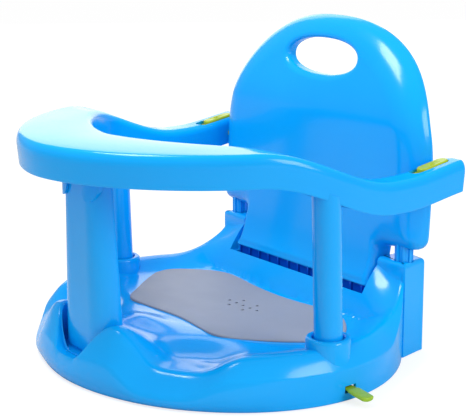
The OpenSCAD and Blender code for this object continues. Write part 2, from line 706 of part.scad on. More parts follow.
// Backrest outline, from the middle of its bottom edge up its right side to the top
arch_z = 165;
arch_n = 2.3;
back_outline = concat(
    [for (x = [0, 30, 60, 84, 94]) [x * tongue_half / 97, tongue_z], [tongue_half, tongue_z + 3]],
    [for (z = [74, 86, ear_z - 3]) [tongue_half, z]],
    [[tongue_half + 2, ear_z + 1], [112, ear_z + 1], [126, ear_z + 2], [back_half - 6, ear_z + 5],
     [back_half - 1, ear_z + 12], [back_half, ear_z + 22]],
    [for (z = [132, 144]) [back_half, z]],
    [for (i = [0:14]) let (q = 90 * i / 14)
        [round_x(q, back_half, arch_n), arch_z + round_y(q, back_top - arch_z, arch_n)]]);
back_loop = concat(back_outline, [for (i = [len(back_outline) - 2:-1:1]) [-back_outline[i][0], back_outline[i][1]]]);
function back_face(z) = 84 + 14 * (1 - exp(-(z - 62) / 20)) + 0.02 * (z - 62) + 14 * ease((z - 205) / 85);
back_mid = [0, 160];
function back_roll(z) = mix(4, roll_d, ease((z - ear_z + 3) / 14));
function back_wide(z) = mix(5, roll_w, ease((z - ear_z + 3) / 14));
function back_point(p, d, k, skin) =
    let (v = back_mid - p, u = v / norm(v))
    let (q = p + u * d + (v - u * d) * k, w = back_wide(p[1]) - skin, e = max(0, 1 - (d - skin) / w))
    [q[0], back_face(q[1]) + skin + (back_roll(p[1]) - skin) * (1 - sqrt(1 - min(1, e * e))), q[1]];
front_steps_d = [0, 0.04, 0.16, 0.36, 0.64, 1];
module back_shell() {
    front = concat(
        [for (t = front_steps_d) [for (p = back_loop) back_point(p, t * back_wide(p[1]), 0, 0)]],
        [for (k = [0.3, 0.62, 0.9]) [for (p = back_loop) back_point(p, back_wide(p[1]), k, 0)]]);
    rear = concat(
        [for (k = [0.9, 0.62, 0.3]) [for (p = back_loop) back_point(p, back_wide(p[1]), k, back_skin)]],
        [for (t = [1, 0.5, 0.2, 0.05, 0])
            [for (p = back_loop) back_point(p, back_skin + t * (back_wide(p[1]) - back_skin), 0, back_skin)]]);
    lofted(concat(rear, front));
}

// Hand hole: a full oval
hand_n = 2.3;
hand_rim = 3;
module hand_oval(grow, y0, y1) {
    translate([0, y1, hand_z]) rotate([90, 0, 0]) linear_extrude(y1 - y0)
        polygon([for (q = [5:10:355])
            [round_x(q, hand_w / 2 + grow, hand_n), round_y(q, hand_h / 2 + grow, hand_n)]]);
}
module peg() {
    top = ear_z + 6;
    foot = peg_z + seat_gap;
    translate([peg_x, peg_y, foot]) {
        cylinder(r = peg_r - 1.2, h = top - foot);
        for (q = [0:45:135]) rotate([0, 0, q]) translate([-peg_r, -0.9, 0]) cube([2 * peg_r, 1.8, top - foot]);
    }
}
tenon_z = 42;
tenon_y = 87;
module tenon() {
    half = window_x - 5;
    translate([-half, tenon_y, tenon_z]) cube([2 * half, 3, tongue_z + 6 - tenon_z]);
    for (i = [-6:6]) translate([i * (half - 1) / 6 - 1, tenon_y - 3, tenon_z]) cube([2, 8, tongue_z + 4 - tenon_z]);
}
module backrest() {
    hand_y = back_face(hand_z);
    placed() color(blue) difference() {
        union() {
            back_shell();
            difference() {
                hand_oval(hand_rim, hand_y + 1.5, hand_y + 4 * hand_rim);
                hand_oval(0, hand_y - 10, hand_y + 20);
            }
            both() peg();
            both() translate([tongue_half + 1, back_face(ear_z) + 5, ear_z + 1])
                cube([back_half - tongue_half - 9, 18, 3]);
            tenon();
        }
        hand_oval(0, hand_y - 20, hand_y + 30);
        both() latch_place() translate([-tongue_reach - 1.5, tongue_y - latch_travel - 1, slide_top - slide_h - 1])
            cube([10, tongue_t + latch_travel + 12, 6]);
    }
}

lip_w = 4;
// Suction cup: a soft bell with a stem up into its boss and a release tab out through the wall
module suction_cup(at, wall, angle) {
    r = cup_d / 2;
    placed() color([0.55, 0.72, 0.3]) translate([at[0], at[1], 0]) {
        rotate_extrude() polygon([[0, 4], [r * 0.4, 3.4], [r * 0.7, 1.4], [r - lip_w, 0], [r, 0], [r, 1.4],
            [r * 0.82, 3.6], [r * 0.5, 6.2], [stem_r + 1.5, 8.2], [stem_r, boss_z - seat_gap],
            [stem_r, stem_top], [0, stem_top]]);
        rotate([0, 0, angle]) rotate([90, 0, 0]) translate([0, 0, -tab_w / 2]) linear_extrude(tab_w)
            polygon([[r * 0.7, 3.4], [r * 0.95, 2], [wall - 8, tab_z], [wall + 2, tab_z], [wall + tab_out - 2, tab_z - 4.5],
                [wall + tab_out, tab_z - 4.5], [wall + tab_out, tab_z - 4.5 + tab_t], [wall + 2, tab_z + tab_t],
                [wall - 8, tab_z + tab_t], [r * 0.9, 2 + tab_t]]);
    }
}
module suction_cup_right() {
    suction_cup(side_cup, side_wall_x - side_cup[0], 0);
}
module suction_cup_left() {
    mirror([1, 0, 0]) suction_cup_right();
}
module suction_cup_rear_right() {
    suction_cup(rear_cup, rear_wall_y - rear_cup[1], 90);
}
module suction_cup_rear_left() {
    mirror([1, 0, 0]) suction_cup_rear_right();
}

base();
seat_pad();
backrest();
tray_ring();
front_leg();
post_left();
post_right();
latch_left();
latch_right();
latch_spring_left();
latch_spring_right();
latch_cover_left();
latch_cover_right();
cover_screws();
suction_cup_left();
suction_cup_right();
suction_cup_rear_left();
suction_cup_rear_right();
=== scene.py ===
"""Baby bath seat: glossy blue mouldings, a grey seat pad, lime latch buttons and soft green suction cups.

Lengths in the shape functions are millimetres counted from the middle of the seat, as in the part's source.
"""
import math

import bmesh
import bpy
import numpy as np
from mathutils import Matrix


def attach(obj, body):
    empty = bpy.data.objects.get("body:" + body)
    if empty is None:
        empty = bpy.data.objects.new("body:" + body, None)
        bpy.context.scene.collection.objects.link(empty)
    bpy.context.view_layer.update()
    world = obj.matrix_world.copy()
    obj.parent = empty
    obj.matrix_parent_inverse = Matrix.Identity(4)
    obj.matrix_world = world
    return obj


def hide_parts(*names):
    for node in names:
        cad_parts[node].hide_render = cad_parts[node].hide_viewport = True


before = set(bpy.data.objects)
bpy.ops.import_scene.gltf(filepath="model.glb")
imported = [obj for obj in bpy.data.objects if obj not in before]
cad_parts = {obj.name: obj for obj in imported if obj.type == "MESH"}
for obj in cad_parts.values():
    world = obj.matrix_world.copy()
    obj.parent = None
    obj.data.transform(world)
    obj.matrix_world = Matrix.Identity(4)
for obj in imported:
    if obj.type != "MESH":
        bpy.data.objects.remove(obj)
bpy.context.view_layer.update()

# The frame's origin lies in the middle of the whole depth, tabs included
ORIGIN = np.array([0.0, 18.35, 0.0])

# Wall of the mouldings
SKIN = 3.0

# Base: half its width, the reach of its front, the middle's place and the power of its outline
BASE_W, BASE_FRONT, BASE_MID_Y, BASE_N = 180.0, 163.0, -8.0, 1.92
# Its rim: height of the edge and the crest, how far in the crest lies, the run of its fall, the wall's swell
EDGE_H, CREST_H, CREST_IN, RIM_FALL, BULGE = 28.0, 44.0, 14.0, 32.0, 5.0
RIM_IN = CREST_IN + RIM_FALL
# The rim near the pillars: where it begins to tighten, the run of that, its crest's place and its edge's drop
TIGHT_Y, TIGHT_RUN, TIGHT_IN, TIGHT_DROP = 52.0, 46.0, 4.5, 3.5
# Seat floor, the pad's recess, the dish, and the lip ahead of the backrest's slot
SEAT_H, RECESS, DISH, LIP_H, LIP_Y = 28.0, 1.6, 5.0, 53.5, 80.0
# Plan of the dish: half width, middle and half depth
DISH_HALF_W, DISH_Y, DISH_HALF_D = 138.0, 8.0, 64.0
# Bed for each leg in the floor: depth, place and reach; the ridge between them: height, half width and start
BED_D, BED_X, BED_Y, BED_R = 8.0, 92.0, -106.0, 36.0
RIDGE_H, RIDGE_HALF_W, RIDGE_Y = 10.0, 27.0, -60.0
# Pillars: top, front and back, and the bow of the wall between them
PILLAR_H, PILLAR_Y, PILLAR_BACK_Y, REAR_BOW = 87.0, 102.0, 131.0, 9.0
# Rear block: its front, the two ends of its side and the place and radii of its corner
BLOCK_Y, BLOCK_SIDE = 98.5, np.array([[133.6, 99.5], [128.0, 125.5]])
BLOCK_CORNER, BLOCK_CORNER_R = np.array([124.3, 128.1]), np.array([3.5, 3.3])
# Where the rear slope and the rim's sweep up to the pillars begin, and half the window between the pillars
SLOPE_Y, SWEEP_Y, WINDOW_X = 68.5, 42.0, 98.5
# Post collars: radius, top and the floor of the bore; the posts in them: place, radius and lean
COLLAR_R, COLLAR_H, BORE_Z = 19.25, 51.4, 20.0
POST_X, POST_Y, POST_R, POST_LEAN = 159.0, -14.0, 12.15, math.radians(1.8)
# Front leg: back, depth, width at the foot and at the top, lean; height of its foot and half its flat middle
LEG_Y, LEG_D, LEG_FOOT_W, LEG_TOP_W, LEG_LEAN = -138.0, 20.0, 76.0, 56.0, 3.0
LEG_FOOT_Z, LEG_FLAT = 25.3, 13.0
# Its pocket in the base: the gap round the leg and the floor; its lugs: middle, half width, drop and rounding
LEG_CLEAR, POCKET_Z = 4.5, 23.0
LUG_X, LUG_HALF_W, LUG_DROP, LUG_ROUND = 19.5, 9.3, 23.0, 17.0
# Humps beside the pocket: height, reach and how far out and ahead they lie
HUMP, HUMP_R, HUMP_OUT, HUMP_AHEAD = 14.0, 30.0, 5.0, 8.0
# Notch ahead of the leg: height, half its flat and the run of its sides
NOTCH_Z, NOTCH_HALF_W, NOTCH_RUN = 24.5, 11.0, 31.0
# Scoops in the rim for the child's legs: depth, middle, half width and start
SCOOP, SCOOP_X, SCOOP_HALF_W, SCOOP_Y = 15.0, 98.0, 34.0, -70.0
# Ring: inner and outer side of an arm, front of the tray and of the opening, powers of the two outlines
ARM_IN, ARM_OUT, TRAY_FRONT, TRAY_N = 145.5, 172.5, 197.0, 1.83
OPENING_FRONT, OPENING_N, OPENING_MID_Y = 121.0, 1.51, -19.0
# Its top: the tray, the dip over the posts and the rise behind; its depth and the end of the arms
TRAY_H, ARM_DIP, ARM_RISE, RING_H, ARM_END_Y = 212.0, 36.0, 10.0, 28.0, 131.0
# Backrest: top, half width, the tongue's half width and foot, and the underside of the ears
BACK_TOP, BACK_HALF, TONGUE_HALF, TONGUE_Z, EAR_Z = 298.0, 143.0, 97.5, 60.8, 97.0
# Its rolled edge and the arch over it: width, depth, foot and power
ROLL_W, ROLL_D, ARCH_Z, ARCH_N = 28.0, 20.0, 165.0, 2.3
# Hand hole: middle, width and height; pegs under the ears: place, radius and the gap in their holes
HAND_Z, HAND_W, HAND_H = 260.3, 97.0, 33.5
PEG_X, PEG_Y, PEG_R, PEG_CLEAR = 120.25, 110.5, 8.5, 0.4
# Latch: place and slope of the arm there; its button and its travel; how much shorter the button is in front
LATCH_X, LATCH_Y, LATCH_SLOPE = 155.5, 105.0, math.radians(9.6276)
BUTTON_L, BUTTON_W, BUTTON_PROUD, BUTTON_R, LATCH_TRAVEL, BUTTON_SHORT = 38.0, 12.0, 1.2, 1.8, 5.0, 4.0
# Suction cups, and the slots in the wall for their tabs: half width, floor and top
SIDE_CUP, REAR_CUP, CUP_R = (143.0, -7.0), (72.0, 92.0), 25.0
TAB_HALF_W, TAB_Z0, TAB_Z1 = 6.0, 6.5, 12.9
# Width in pixels of the view that the camera's shifts were measured in
VIEW_W = 466


# Small curves

def ease(t):
    """A rise from 0 to 1 with level ends: 3t^2 - 2t^3 between 0 and 1."""
    c = np.clip(t, 0.0, 1.0)
    return c * c * (3 - 2 * c)


def mix(a, b, t):
    """The value a share t of the way from a to b."""
    return a + (b - a) * t


def power(v, p):
    """v to the power p, with the sign of v."""
    return np.sign(v) * np.abs(v) ** p


def spline(points, per):
    """A closed Catmull-Rom curve through the points, with per steps on each span."""
    p = np.asarray(points, float)
    a, b, c, d = np.roll(p, 1, 0), p, np.roll(p, -1, 0), np.roll(p, -2, 0)
    t = (np.arange(per) / per)[None, :, None]
    a, b, c, d = (v[:, None, :] for v in (a, b, c, d))
    out = 0.5 * (2 * b + (c - a) * t + (2 * a - 5 * b + 4 * c - d) * t**2 + (3 * b - a - 3 * c + d) * t**3)
    return out.reshape(-1, p.shape[1])


def resample(loop, count):
    """The same closed line with count points at even steps of its length."""
    closed = np.vstack([loop, loop[:1]])
    run = np.concatenate([[0], np.cumsum(np.linalg.norm(np.diff(closed, axis=0), axis=1))])
    at = np.linspace(0, run[-1], count, endpoint=False)
    return np.stack([np.interp(at, run, closed[:, i]) for i in range(loop.shape[1])], 1)


def inset(loop, d):
    """A closed plan line moved in by d along its normals; the loop runs counter-clockwise."""
    t = np.roll(loop, -1, 0) - np.roll(loop, 1, 0)
    n = np.stack([-t[:, 1], t[:, 0]], 1) / np.linalg.norm(t, axis=1)[:, None]
    return loop + n * d


# Meshes

def quads(rows, cols, wrap_rows, wrap_cols):
    """Corner numbers of the faces between the points of a grid of rows and columns."""
    i = np.arange(rows if wrap_rows else rows - 1)[:, None]
    j = np.arange(cols if wrap_cols else cols - 1)[None, :]
    i, j = np.broadcast_arrays(i, j)
    ii, jj = (i + 1) % rows, (j + 1) % cols
    return np.stack([i * cols + j, i * cols + jj, ii * cols + jj, ii * cols + j], -1).reshape(-1, 4)


def tube(rings):
    """Closed skin over a stack of closed rings, with a fan to the middle of the first and the last ring."""
    rows, cols = rings.shape[:2]
    pts = np.concatenate([rings.reshape(-1, 3), rings[0].mean(0)[None], rings[-1].mean(0)[None]])
    j = np.arange(cols)
    a, b = rows * cols, (rows - 1) * cols
    low = np.stack([j, (j + 1) % cols, np.full(cols, a)], 1)
    high = np.stack([b + j, b + (j + 1) % cols, np.full(cols, a + 1)], 1)
    return pts, quads(rows, cols, False, True).tolist() + low.tolist() + high.tolist()


def torus(rings):
    """Closed skin over rings whose last meets the first again."""
    rows, cols = rings.shape[:2]
    return rings.reshape(-1, 3), quads(rows, cols, True, True).tolist()


def folded(rings):
    """Closed skin over open-sided rings: each end is closed across the thickness of the wall."""
    rows, cols = rings.shape[:2]
    i = np.arange(cols // 2 - 1)
    cap = np.stack([i, i + 1, cols - 2 - i, cols - 1 - i], 1)
    faces = quads(rows, cols, False, True).tolist() + cap.tolist() + (cap + (rows - 1) * cols).tolist()
    return rings.reshape(-1, 3), faces


def slab(outer, inner):
    """Closed skin over two grids of the same size that lie face to face."""
    rows, cols = outer.shape[:2]
    n = rows * cols
    r, c = np.arange(rows), np.arange(cols)
    edge = np.concatenate([c[:-1], r[:-1] * cols + cols - 1, (rows - 1) * cols + c[:0:-1], r[:0:-1] * cols])
    nxt = np.roll(edge, -1)
    rim = np.stack([edge, nxt, nxt + n, edge + n], 1)
    face = quads(rows, cols, False, False)
    points = np.concatenate([outer.reshape(-1, 3), inner.reshape(-1, 3)])
    return points, np.concatenate([face, face + n, rim]).tolist()


def turned(profile, count, centre=(0.0, 0.0)):
    """Closed skin of a profile of radius and height turned about a vertical line."""
    a = np.linspace(0, 2 * np.pi, count, endpoint=False)
    r, z = np.array(profile, float).T
    x = centre[0] + r[:, None] * np.cos(a)
    y = centre[1] + r[:, None] * np.sin(a)
    return tube(np.stack([x, y, np.broadcast_to(z[:, None], x.shape)], -1))


def prism(loop, z0, z1):
    """Closed skin of a plan line carried up from z0 to z1."""
    return tube(np.stack([level(loop, z) for z in (z0, z1)]))


def block(x0, x1, y0, y1, z0, z1):
    """Closed skin of a box."""
    return prism(np.array([[x0, y0], [x1, y0], [x1, y1], [x0, y1]], float), z0, z1)


def joined(*skins):
    """Several skins as one list of points and faces."""
    pts, faces, base = [], [], 0
    for p, f in skins:
        pts.append(p)
        faces += [[i + base for i in face] for face in f]
        base += len(p)
    return np.concatenate(pts), faces


def flipped(skin):
    """The mirror image of a skin across the middle of the seat."""
    p, f = skin
    return p * [-1, 1, 1], [face[::-1] for face in f]


def mirrored(skin):
    """The skin and its mirror image across the middle of the seat."""
    return joined(skin, flipped(skin))


def both_halves(half):
    """A line from one side to the middle, carried on to the other side as its mirror image."""
    return np.concatenate([half, half[-2::-1] * [-1, 1]])


def level(plan, z):
    """The points of a plan line at the height z."""
    return np.column_stack([plan, np.full(len(plan), z)])


def rounded_rings(loop, z0, z1, r, steps):
    """Rings of a plan line carried up from z0 to z1, its top edge a quarter round of radius r."""
    turn = np.linspace(0, np.pi / 2, steps)
    return [level(loop, z0)] + [level(inset(loop, r * (1 - np.cos(t))), z1 - r + r * np.sin(t)) for t in turn]


def piece(name, skin):
    """A mesh object from points in millimetres and faces, with its faces turned outwards."""
    pts, faces = skin
    mesh = bpy.data.meshes.new(name)
    mesh.from_pydata(((pts + ORIGIN) / 1000.0).tolist(), [], faces)
    bm = bmesh.new()
    bm.from_mesh(mesh)
    bmesh.ops.remove_doubles(bm, verts=bm.verts, dist=1e-6)
    bmesh.ops.recalc_face_normals(bm, faces=bm.faces)
    bm.to_mesh(mesh)
    bm.free()
    obj = bpy.data.objects.new(name, mesh)
    bpy.context.scene.collection.objects.link(obj)
    return obj


def carve(obj, tool, how="DIFFERENCE"):
    """Takes one closed mesh from another, or adds it, and keeps the result as the object's own mesh."""
    step = obj.modifiers.new("carve", "BOOLEAN")
    step.operation, step.solver, step.object = how, "MANIFOLD", tool
    graph = bpy.context.evaluated_depsgraph_get()
    result = bpy.data.meshes.new_from_object(obj.evaluated_get(graph))
    obj.modifiers.clear()
    old, obj.data = obj.data, result
    result.name = obj.name
    bpy.data.meshes.remove(old)
    bpy.data.objects.remove(tool)
    return obj


def dress(obj, material, body="seat", nodes=(), crease=38):
    """Shading, finish and body of a piece, and the nodes it stands for."""
    obj.data.shade_smooth()
    obj.data.set_sharp_from_angle(angle=math.radians(crease))
    obj.data.materials.clear()
    obj.data.materials.append(material)
    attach(obj, body)
    if nodes:
        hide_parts(*nodes)
    return obj


# Finishes

class Val:
    """A shader socket with the arithmetic that the finishes use."""

    def __init__(self, tree, socket):
        self.tree, self.socket = tree, socket

    def node(self, kind, settings=None, out=0, **inputs):
        """A node with its settings and the values or links of its sockets, as a Val of one of its outputs."""
        n = self.tree.nodes.new(kind)
        for key, value in (settings or {}).items():
            setattr(n, key, value)
        for key, value in inputs.items():
            numbered = key[0] == "i" and key[1:].isdigit()
            want = n.inputs[int(key[1:]) if numbered else key.replace("_", " ")]
            if isinstance(value, Val):
                self.tree.links.new(value.socket, want)
            else:
                want.default_value = value
        return Val(self.tree, n.outputs[out])

    def _math(self, how, a, b):
        return self.node("ShaderNodeMath", {"operation": how}, i0=a, i1=b)

    def __add__(self, o):
        return self._math("ADD", self, o)

    __radd__ = __add__

    def __mul__(self, o):
        return self._math("MULTIPLY", self, o)

    __rmul__ = __mul__

    def __sub__(self, o):
        return self._math("SUBTRACT", self, o)

    def __rsub__(self, o):
        return self._math("SUBTRACT", o, self)


def srgb(r, g, b):
    """A colour as written on screen, 0 to 255, in the shader's linear values."""
    v = np.array([r, g, b]) / 255.0
    lin = np.where(v <= 0.04045, v / 12.92, ((v + 0.055) / 1.055) ** 2.4)
    return (*lin.tolist(), 1.0)


def finish(name):
    """A new material, its main shader, and a Val that starts its maths."""
    mat = bpy.data.materials.new(name)
    mat.use_nodes = True
    tree = mat.node_tree
    shader = tree.nodes["Principled BSDF"]
    place = tree.nodes.new("ShaderNodeTexCoord")
    return mat, tree, shader, Val(tree, place.outputs["Object"])


def moulded(name, dark, light, rough, wave, fine, coat=0.0):
    """Moulded plastic: a slow flow of tone, faint wear in the gloss and a ripple of the mould.

    The roughness runs from 0.65 of rough to 1.35 of it with the wear's noise.
    """
    mat, tree, shader, at = finish(name)
    flow = at.node("ShaderNodeTexNoise", {"noise_dimensions": "3D"}, Vector=at, Scale=9.0, Detail=2.0)
    tone = at.node("ShaderNodeMix", {"data_type": "RGBA"}, out=2, i0=flow, i6=dark, i7=light)
    tree.links.new(tone.socket, shader.inputs["Base Color"])
    smear = at.node("ShaderNodeTexNoise", Vector=at, Scale=34.0, Detail=4.0)
    tree.links.new((smear * (rough * 0.7) + rough * 0.65).socket, shader.inputs["Roughness"])
    ripple = at.node("ShaderNodeTexNoise", Vector=at, Scale=fine, Detail=1.0)
    bump = at.node("ShaderNodeBump", Height=ripple, Strength=wave, Distance=0.0004)
    tree.links.new(bump.socket, shader.inputs["Normal"])
    shader.inputs["IOR"].default_value = 1.5
    shader.inputs["Specular IOR Level"].default_value = 0.32
    shader.inputs["Coat Weight"].default_value = coat
    shader.inputs["Coat Roughness"].default_value = 0.05
    return mat


shell_blue = moulded("gloss_blue", srgb(0, 163, 246), srgb(8, 174, 252),
                     rough=0.17, wave=0.02, coat=0.1, fine=60.0)
# A darker copy of the blue moulding for the backrest's tongue: painted shade of the narrow gap in the base's
# slot, since the tongue is the same blue plastic
slot_shade_blue = moulded("slot_shade_blue", srgb(0, 84, 206), srgb(0, 96, 214),
                    rough=0.2, wave=0.02, coat=0.1, fine=60.0)
button_lime = moulded("button_lime", srgb(150, 176, 28), srgb(186, 202, 60),
                      rough=0.3, wave=0.05, coat=0.1, fine=500.0)
pad_grey = moulded("pad_grey", srgb(146, 150, 160), srgb(158, 162, 172),
                   rough=0.55, wave=0.35, fine=2600.0)
cup_green = moulded("cup_green", srgb(136, 180, 30), srgb(170, 206, 60),
                    rough=0.22, wave=0.05, coat=0.2, fine=300.0)
soft = cup_green.node_tree.nodes["Principled BSDF"].inputs
soft["Subsurface Weight"].default_value = 0.3
soft["Subsurface Radius"].default_value = (0.004, 0.006, 0.001)
steel = moulded("zinc_steel", srgb(176, 180, 186), srgb(206, 208, 212),
                rough=0.28, wave=0.2, fine=1800.0)
steel.node_tree.nodes["Principled BSDF"].inputs["Metallic"].default_value = 1.0


# Base

def base_radius(a):
    """Distance from the base's middle to its outline at the angle a, on a rounded outline of power BASE_N."""
    return (np.abs(np.cos(a) / BASE_W) ** BASE_N + np.abs(np.sin(a) / BASE_FRONT) ** BASE_N) ** (-1 / BASE_N)


def crest(x, y):
    """Height of the rim's crest: level, then a quarter round up to the pillars, and scooped out for the legs.

    A scoop is exp(-((|x| - middle) / half width)^4), eased in over 40 mm towards the front.
    """
    t = np.clip((y - SWEEP_Y) / (PILLAR_Y - SWEEP_Y), 0, 1)
    dip = SCOOP * np.exp(-(((np.abs(x) - SCOOP_X) / SCOOP_HALF_W) ** 4)) * ease((SCOOP_Y - y) / 40)
    return CREST_H + (PILLAR_H - CREST_H) * (1 - np.sqrt(1 - t**2)) - dip


def dish(x, y):
    """Rise of the dish: its depth times the square of the distance from its middle, in half widths."""
    return DISH * ((x / DISH_HALF_W) ** 2 + ((y - DISH_Y) / DISH_HALF_D) ** 2)


def seat_floor(x, y):
    """The dish, capped at 1.3 of its depth, a bed on each side in front for a leg, and a ridge between them.

    A bed is exp(-(distance / reach)^4); the ridge is exp(-(x / half width)^2), eased in over 40 mm.
    """
    bed = BED_D * np.exp(-(((np.abs(x) - BED_X) ** 2 + (y - BED_Y) ** 2) ** 2) / BED_R**4)
    ridge = RIDGE_H * np.exp(-((x / RIDGE_HALF_W) ** 2)) * ease((RIDGE_Y - y) / 40)
    return SEAT_H + RECESS + np.minimum(1.3 * DISH, dish(x, y)) - bed + ridge


def rear_slope(y):
    """Height of the slope between the seat and the backrest: nearly straight, to the power 0.9."""
    way = np.clip((y - SLOPE_Y) / (PILLAR_Y - 2 - SLOPE_Y), 0, 1)
    return mix(SEAT_H + RECESS + DISH, PILLAR_H, way**0.9)


def leg_front(w, d):
    """Front of the leg from its right back edge to its left: a flat middle and a curved face to each edge.

    The face runs over a quarter turn t: out by cos^0.87 of t, forward by 0.12 and 0.88 sin^1.25 of the depth.
    """
    t = np.linspace(0, np.pi / 2, 16)
    out, ahead = np.cos(t) ** 0.87, 0.12 * d + 0.88 * d * np.sin(t) ** 1.25
    side = np.stack([LEG_FLAT + (w / 2 - LEG_FLAT) * out, ahead], 1)
    x = np.linspace(LEG_FLAT, 0, 7)[1:]
    return both_halves(np.concatenate([[[w / 2, 0]], side, np.stack([x, d + 0 * x], 1)]))


def leg_plan(grow):
    """Plan of the leg's foot grown by a gap."""
    p = leg_front(LEG_FOOT_W + 2 * grow, LEG_D + grow)
    back = np.array([[-1, 1], [1, 1]]) * [LEG_FOOT_W / 2 + grow, grow] + [0, LEG_Y]
    return np.concatenate([np.stack([p[:, 0], LEG_Y - p[:, 1]], 1), back])


def gap_to(loop, x, y):
    """Distance of plan points from a closed plan line."""
    a, v = loop, np.roll(loop, -1, 0) - loop
    px, py = x.reshape(-1, 1) - a[:, 0], y.reshape(-1, 1) - a[:, 1]
    t = np.clip((px * v[:, 0] + py * v[:, 1]) / (v**2).sum(1), 0, 1)
    return np.hypot(px - t * v[:, 0], py - t * v[:, 1]).min(1).reshape(x.shape)


def lower(a, b, soft):
    """The lower of two heights, with a blend where they are near each other."""
    return -soft * np.logaddexp(-a / soft, -b / soft)


def rim_and_floor(x, y):
    """Distance in from the outline, and the height there of the rim, the floor inside it and the rear slope.

    From the outline in, the rim is a quarter sine from its edge to its crest, then an ease to the floor.
    """
    s = base_radius(np.arctan2(y - BASE_MID_Y, x)) - np.hypot(x, y - BASE_MID_Y)
    top = crest(x, y)
    middle = 1 - ease((np.abs(x) - WINDOW_X - 2) / 28)
    rise = mix(np.minimum(rear_slope(y), top + 8), rear_slope(y), middle)
    low = np.where(y > SLOPE_Y, rise, seat_floor(x, y))
    tight = ease((y - TIGHT_Y) / TIGHT_RUN)
    wide, edge = mix(CREST_IN, TIGHT_IN, tight), top - mix(CREST_H - EDGE_H, TIGHT_DROP, tight)
    roll = mix(edge, top, np.sin(np.pi / 2 * np.clip(s / wide, 0, 1)))
    return s, np.where(s < wide, roll, mix(top, low, ease((s - wide) / RIM_FALL)))


def pocket_lip(x, y):
    """How far the rim of the leg's pocket is rounded off: a quarter round of 3.5 mm over 4 mm."""
    near = (np.abs(x) < 60) & (y < -115)
    gap = np.where(near, gap_to(leg_plan(LEG_CLEAR), np.where(near, x, 0), np.where(near, y, 0)), 9)
    lip = np.clip(1 - gap / 4, 0, 1)
    return 3.5 * (1 - np.sqrt(1 - lip**2))


def base_height(x, y):
    """Height of the moulding: rim, floor and slope, with the humps, the notch and the pocket of the leg.

    A hump is exp(-1.3 d^2), with d its distance in reaches, and it eases out over 16 mm at the outline.
    """
    s, z = rim_and_floor(x, y)
    lobe = np.hypot(np.abs(x) - LEG_FOOT_W / 2 - HUMP_OUT, y - LEG_Y + HUMP_AHEAD) / HUMP_R
    z = z + HUMP * np.exp(-1.3 * lobe**2) * ease((s + 6) / 16)
    notch = NOTCH_Z + (CREST_H + HUMP + 4 - NOTCH_Z) * ease((np.abs(x) - NOTCH_HALF_W) / NOTCH_RUN)
    behind = 3 * np.clip(y - LEG_Y + LEG_D - 8, 0, 30)
    z = np.where(y < LEG_Y, lower(z, notch + behind, 1.2), z) - pocket_lip(x, y)
    return np.where(y > PILLAR_Y, PILLAR_H - 0.6, np.minimum(z, PILLAR_H - 0.2))


def base_shell():
    """Rings in plan: over the seat, down the outer wall, in under the foot, and back under it to the middle.

    Behind the pillars' front the outline is cut back to the rear wall and to a slanted line on each side.
    The wall swells by a parabola over its lower half and by a flatter one above, towards the front.
    """
    a = np.linspace(0, 2 * np.pi, 600, endpoint=False)
    ux, uy = np.cos(a), np.sin(a)
    radius, lean, tiny = base_radius(a), 0.19, 1e-3
    rear = np.where(uy > 0, (PILLAR_BACK_Y - 4 - BASE_MID_Y) / np.maximum(uy, tiny), np.inf)
    slant = (131 + lean * 110) / np.maximum(np.abs(ux) + lean * np.abs(uy), tiny)
    behind = radius * uy + BASE_MID_Y > PILLAR_Y
    edge = np.where(behind, np.minimum(np.minimum(radius, rear), slant), radius)
    puff = BULGE * ease((-(edge * uy + BASE_MID_Y) - 40) / 70)

    def ring(r, z=None):
        x, y = r * ux, r * uy + BASE_MID_Y
        h = base_height(x, y) if z is None else np.broadcast_to(z, x.shape)
        return np.stack([x, y, h], -1)

    s = np.concatenate([np.linspace(0, 1, 17) ** 1.35 * CREST_IN, np.linspace(CREST_IN + 2, RIM_IN, 15)])
    shares = np.linspace(1, 0, 40)[1:-1]
    over = [ring((edge - RIM_IN) * k) for k in shares[::-1]]
    over += [ring(edge - v) for v in s[::-1]]
    for v, r in zip(s[::-1], over[-len(s):]):
        r[:, :2] += (puff * 0.55 * max(0, 1 - v / CREST_IN))[:, None] * np.stack([ux, uy], 1)
    top = over[-1][:, 2]
    wall = []
    for t in (0.93, 0.84, 0.75, 0.64, 0.53, 0.43, 0.32, 0.21, 0.12, 0.06, 0.02):
        out = puff * (1 - (1 - t / 0.5) ** 2 if t < 0.5 else 1 - 0.45 * ((t - 0.5) / 0.5) ** 2)
        wall.append(ring(edge + out, t * top))
    wall += [ring(edge - 0.4, 0.0), ring(edge - SKIN, 0.0)]

    def underside(r):
        """The skin below: clear of the slot, and lower at the leg's pocket and at the posts' bosses."""
        x, y = r * ux, r * uy + BASE_MID_Y
        h = base_height(x, y) - SKIN - 1
        h = np.where((np.abs(x) < WINDOW_X + 3.5) & (y > 76), np.minimum(h, 44.0), h)
        box = np.maximum(np.abs(x) - LEG_FOOT_W / 2 - LEG_CLEAR, np.abs(y - LEG_Y + 10) - LEG_D + 4)
        pocket = 1 - ease((box - 3) / 3)
        away = np.hypot(np.abs(x) - POST_X, y - POST_Y)
        boss = 1 - ease((away - COLLAR_R + 1) / 3)
        h = mix(h, np.minimum(h, POCKET_Z - 2), pocket)
        return np.stack([x, y, mix(h, np.minimum(h, BORE_Z - 3), boss)], -1)

    under = [underside(edge - v) for v in np.linspace(SKIN, RIM_IN, 16)]
    under += [underside((edge - RIM_IN) * k) for k in shares]
    return tube(np.stack(over + wall + under))


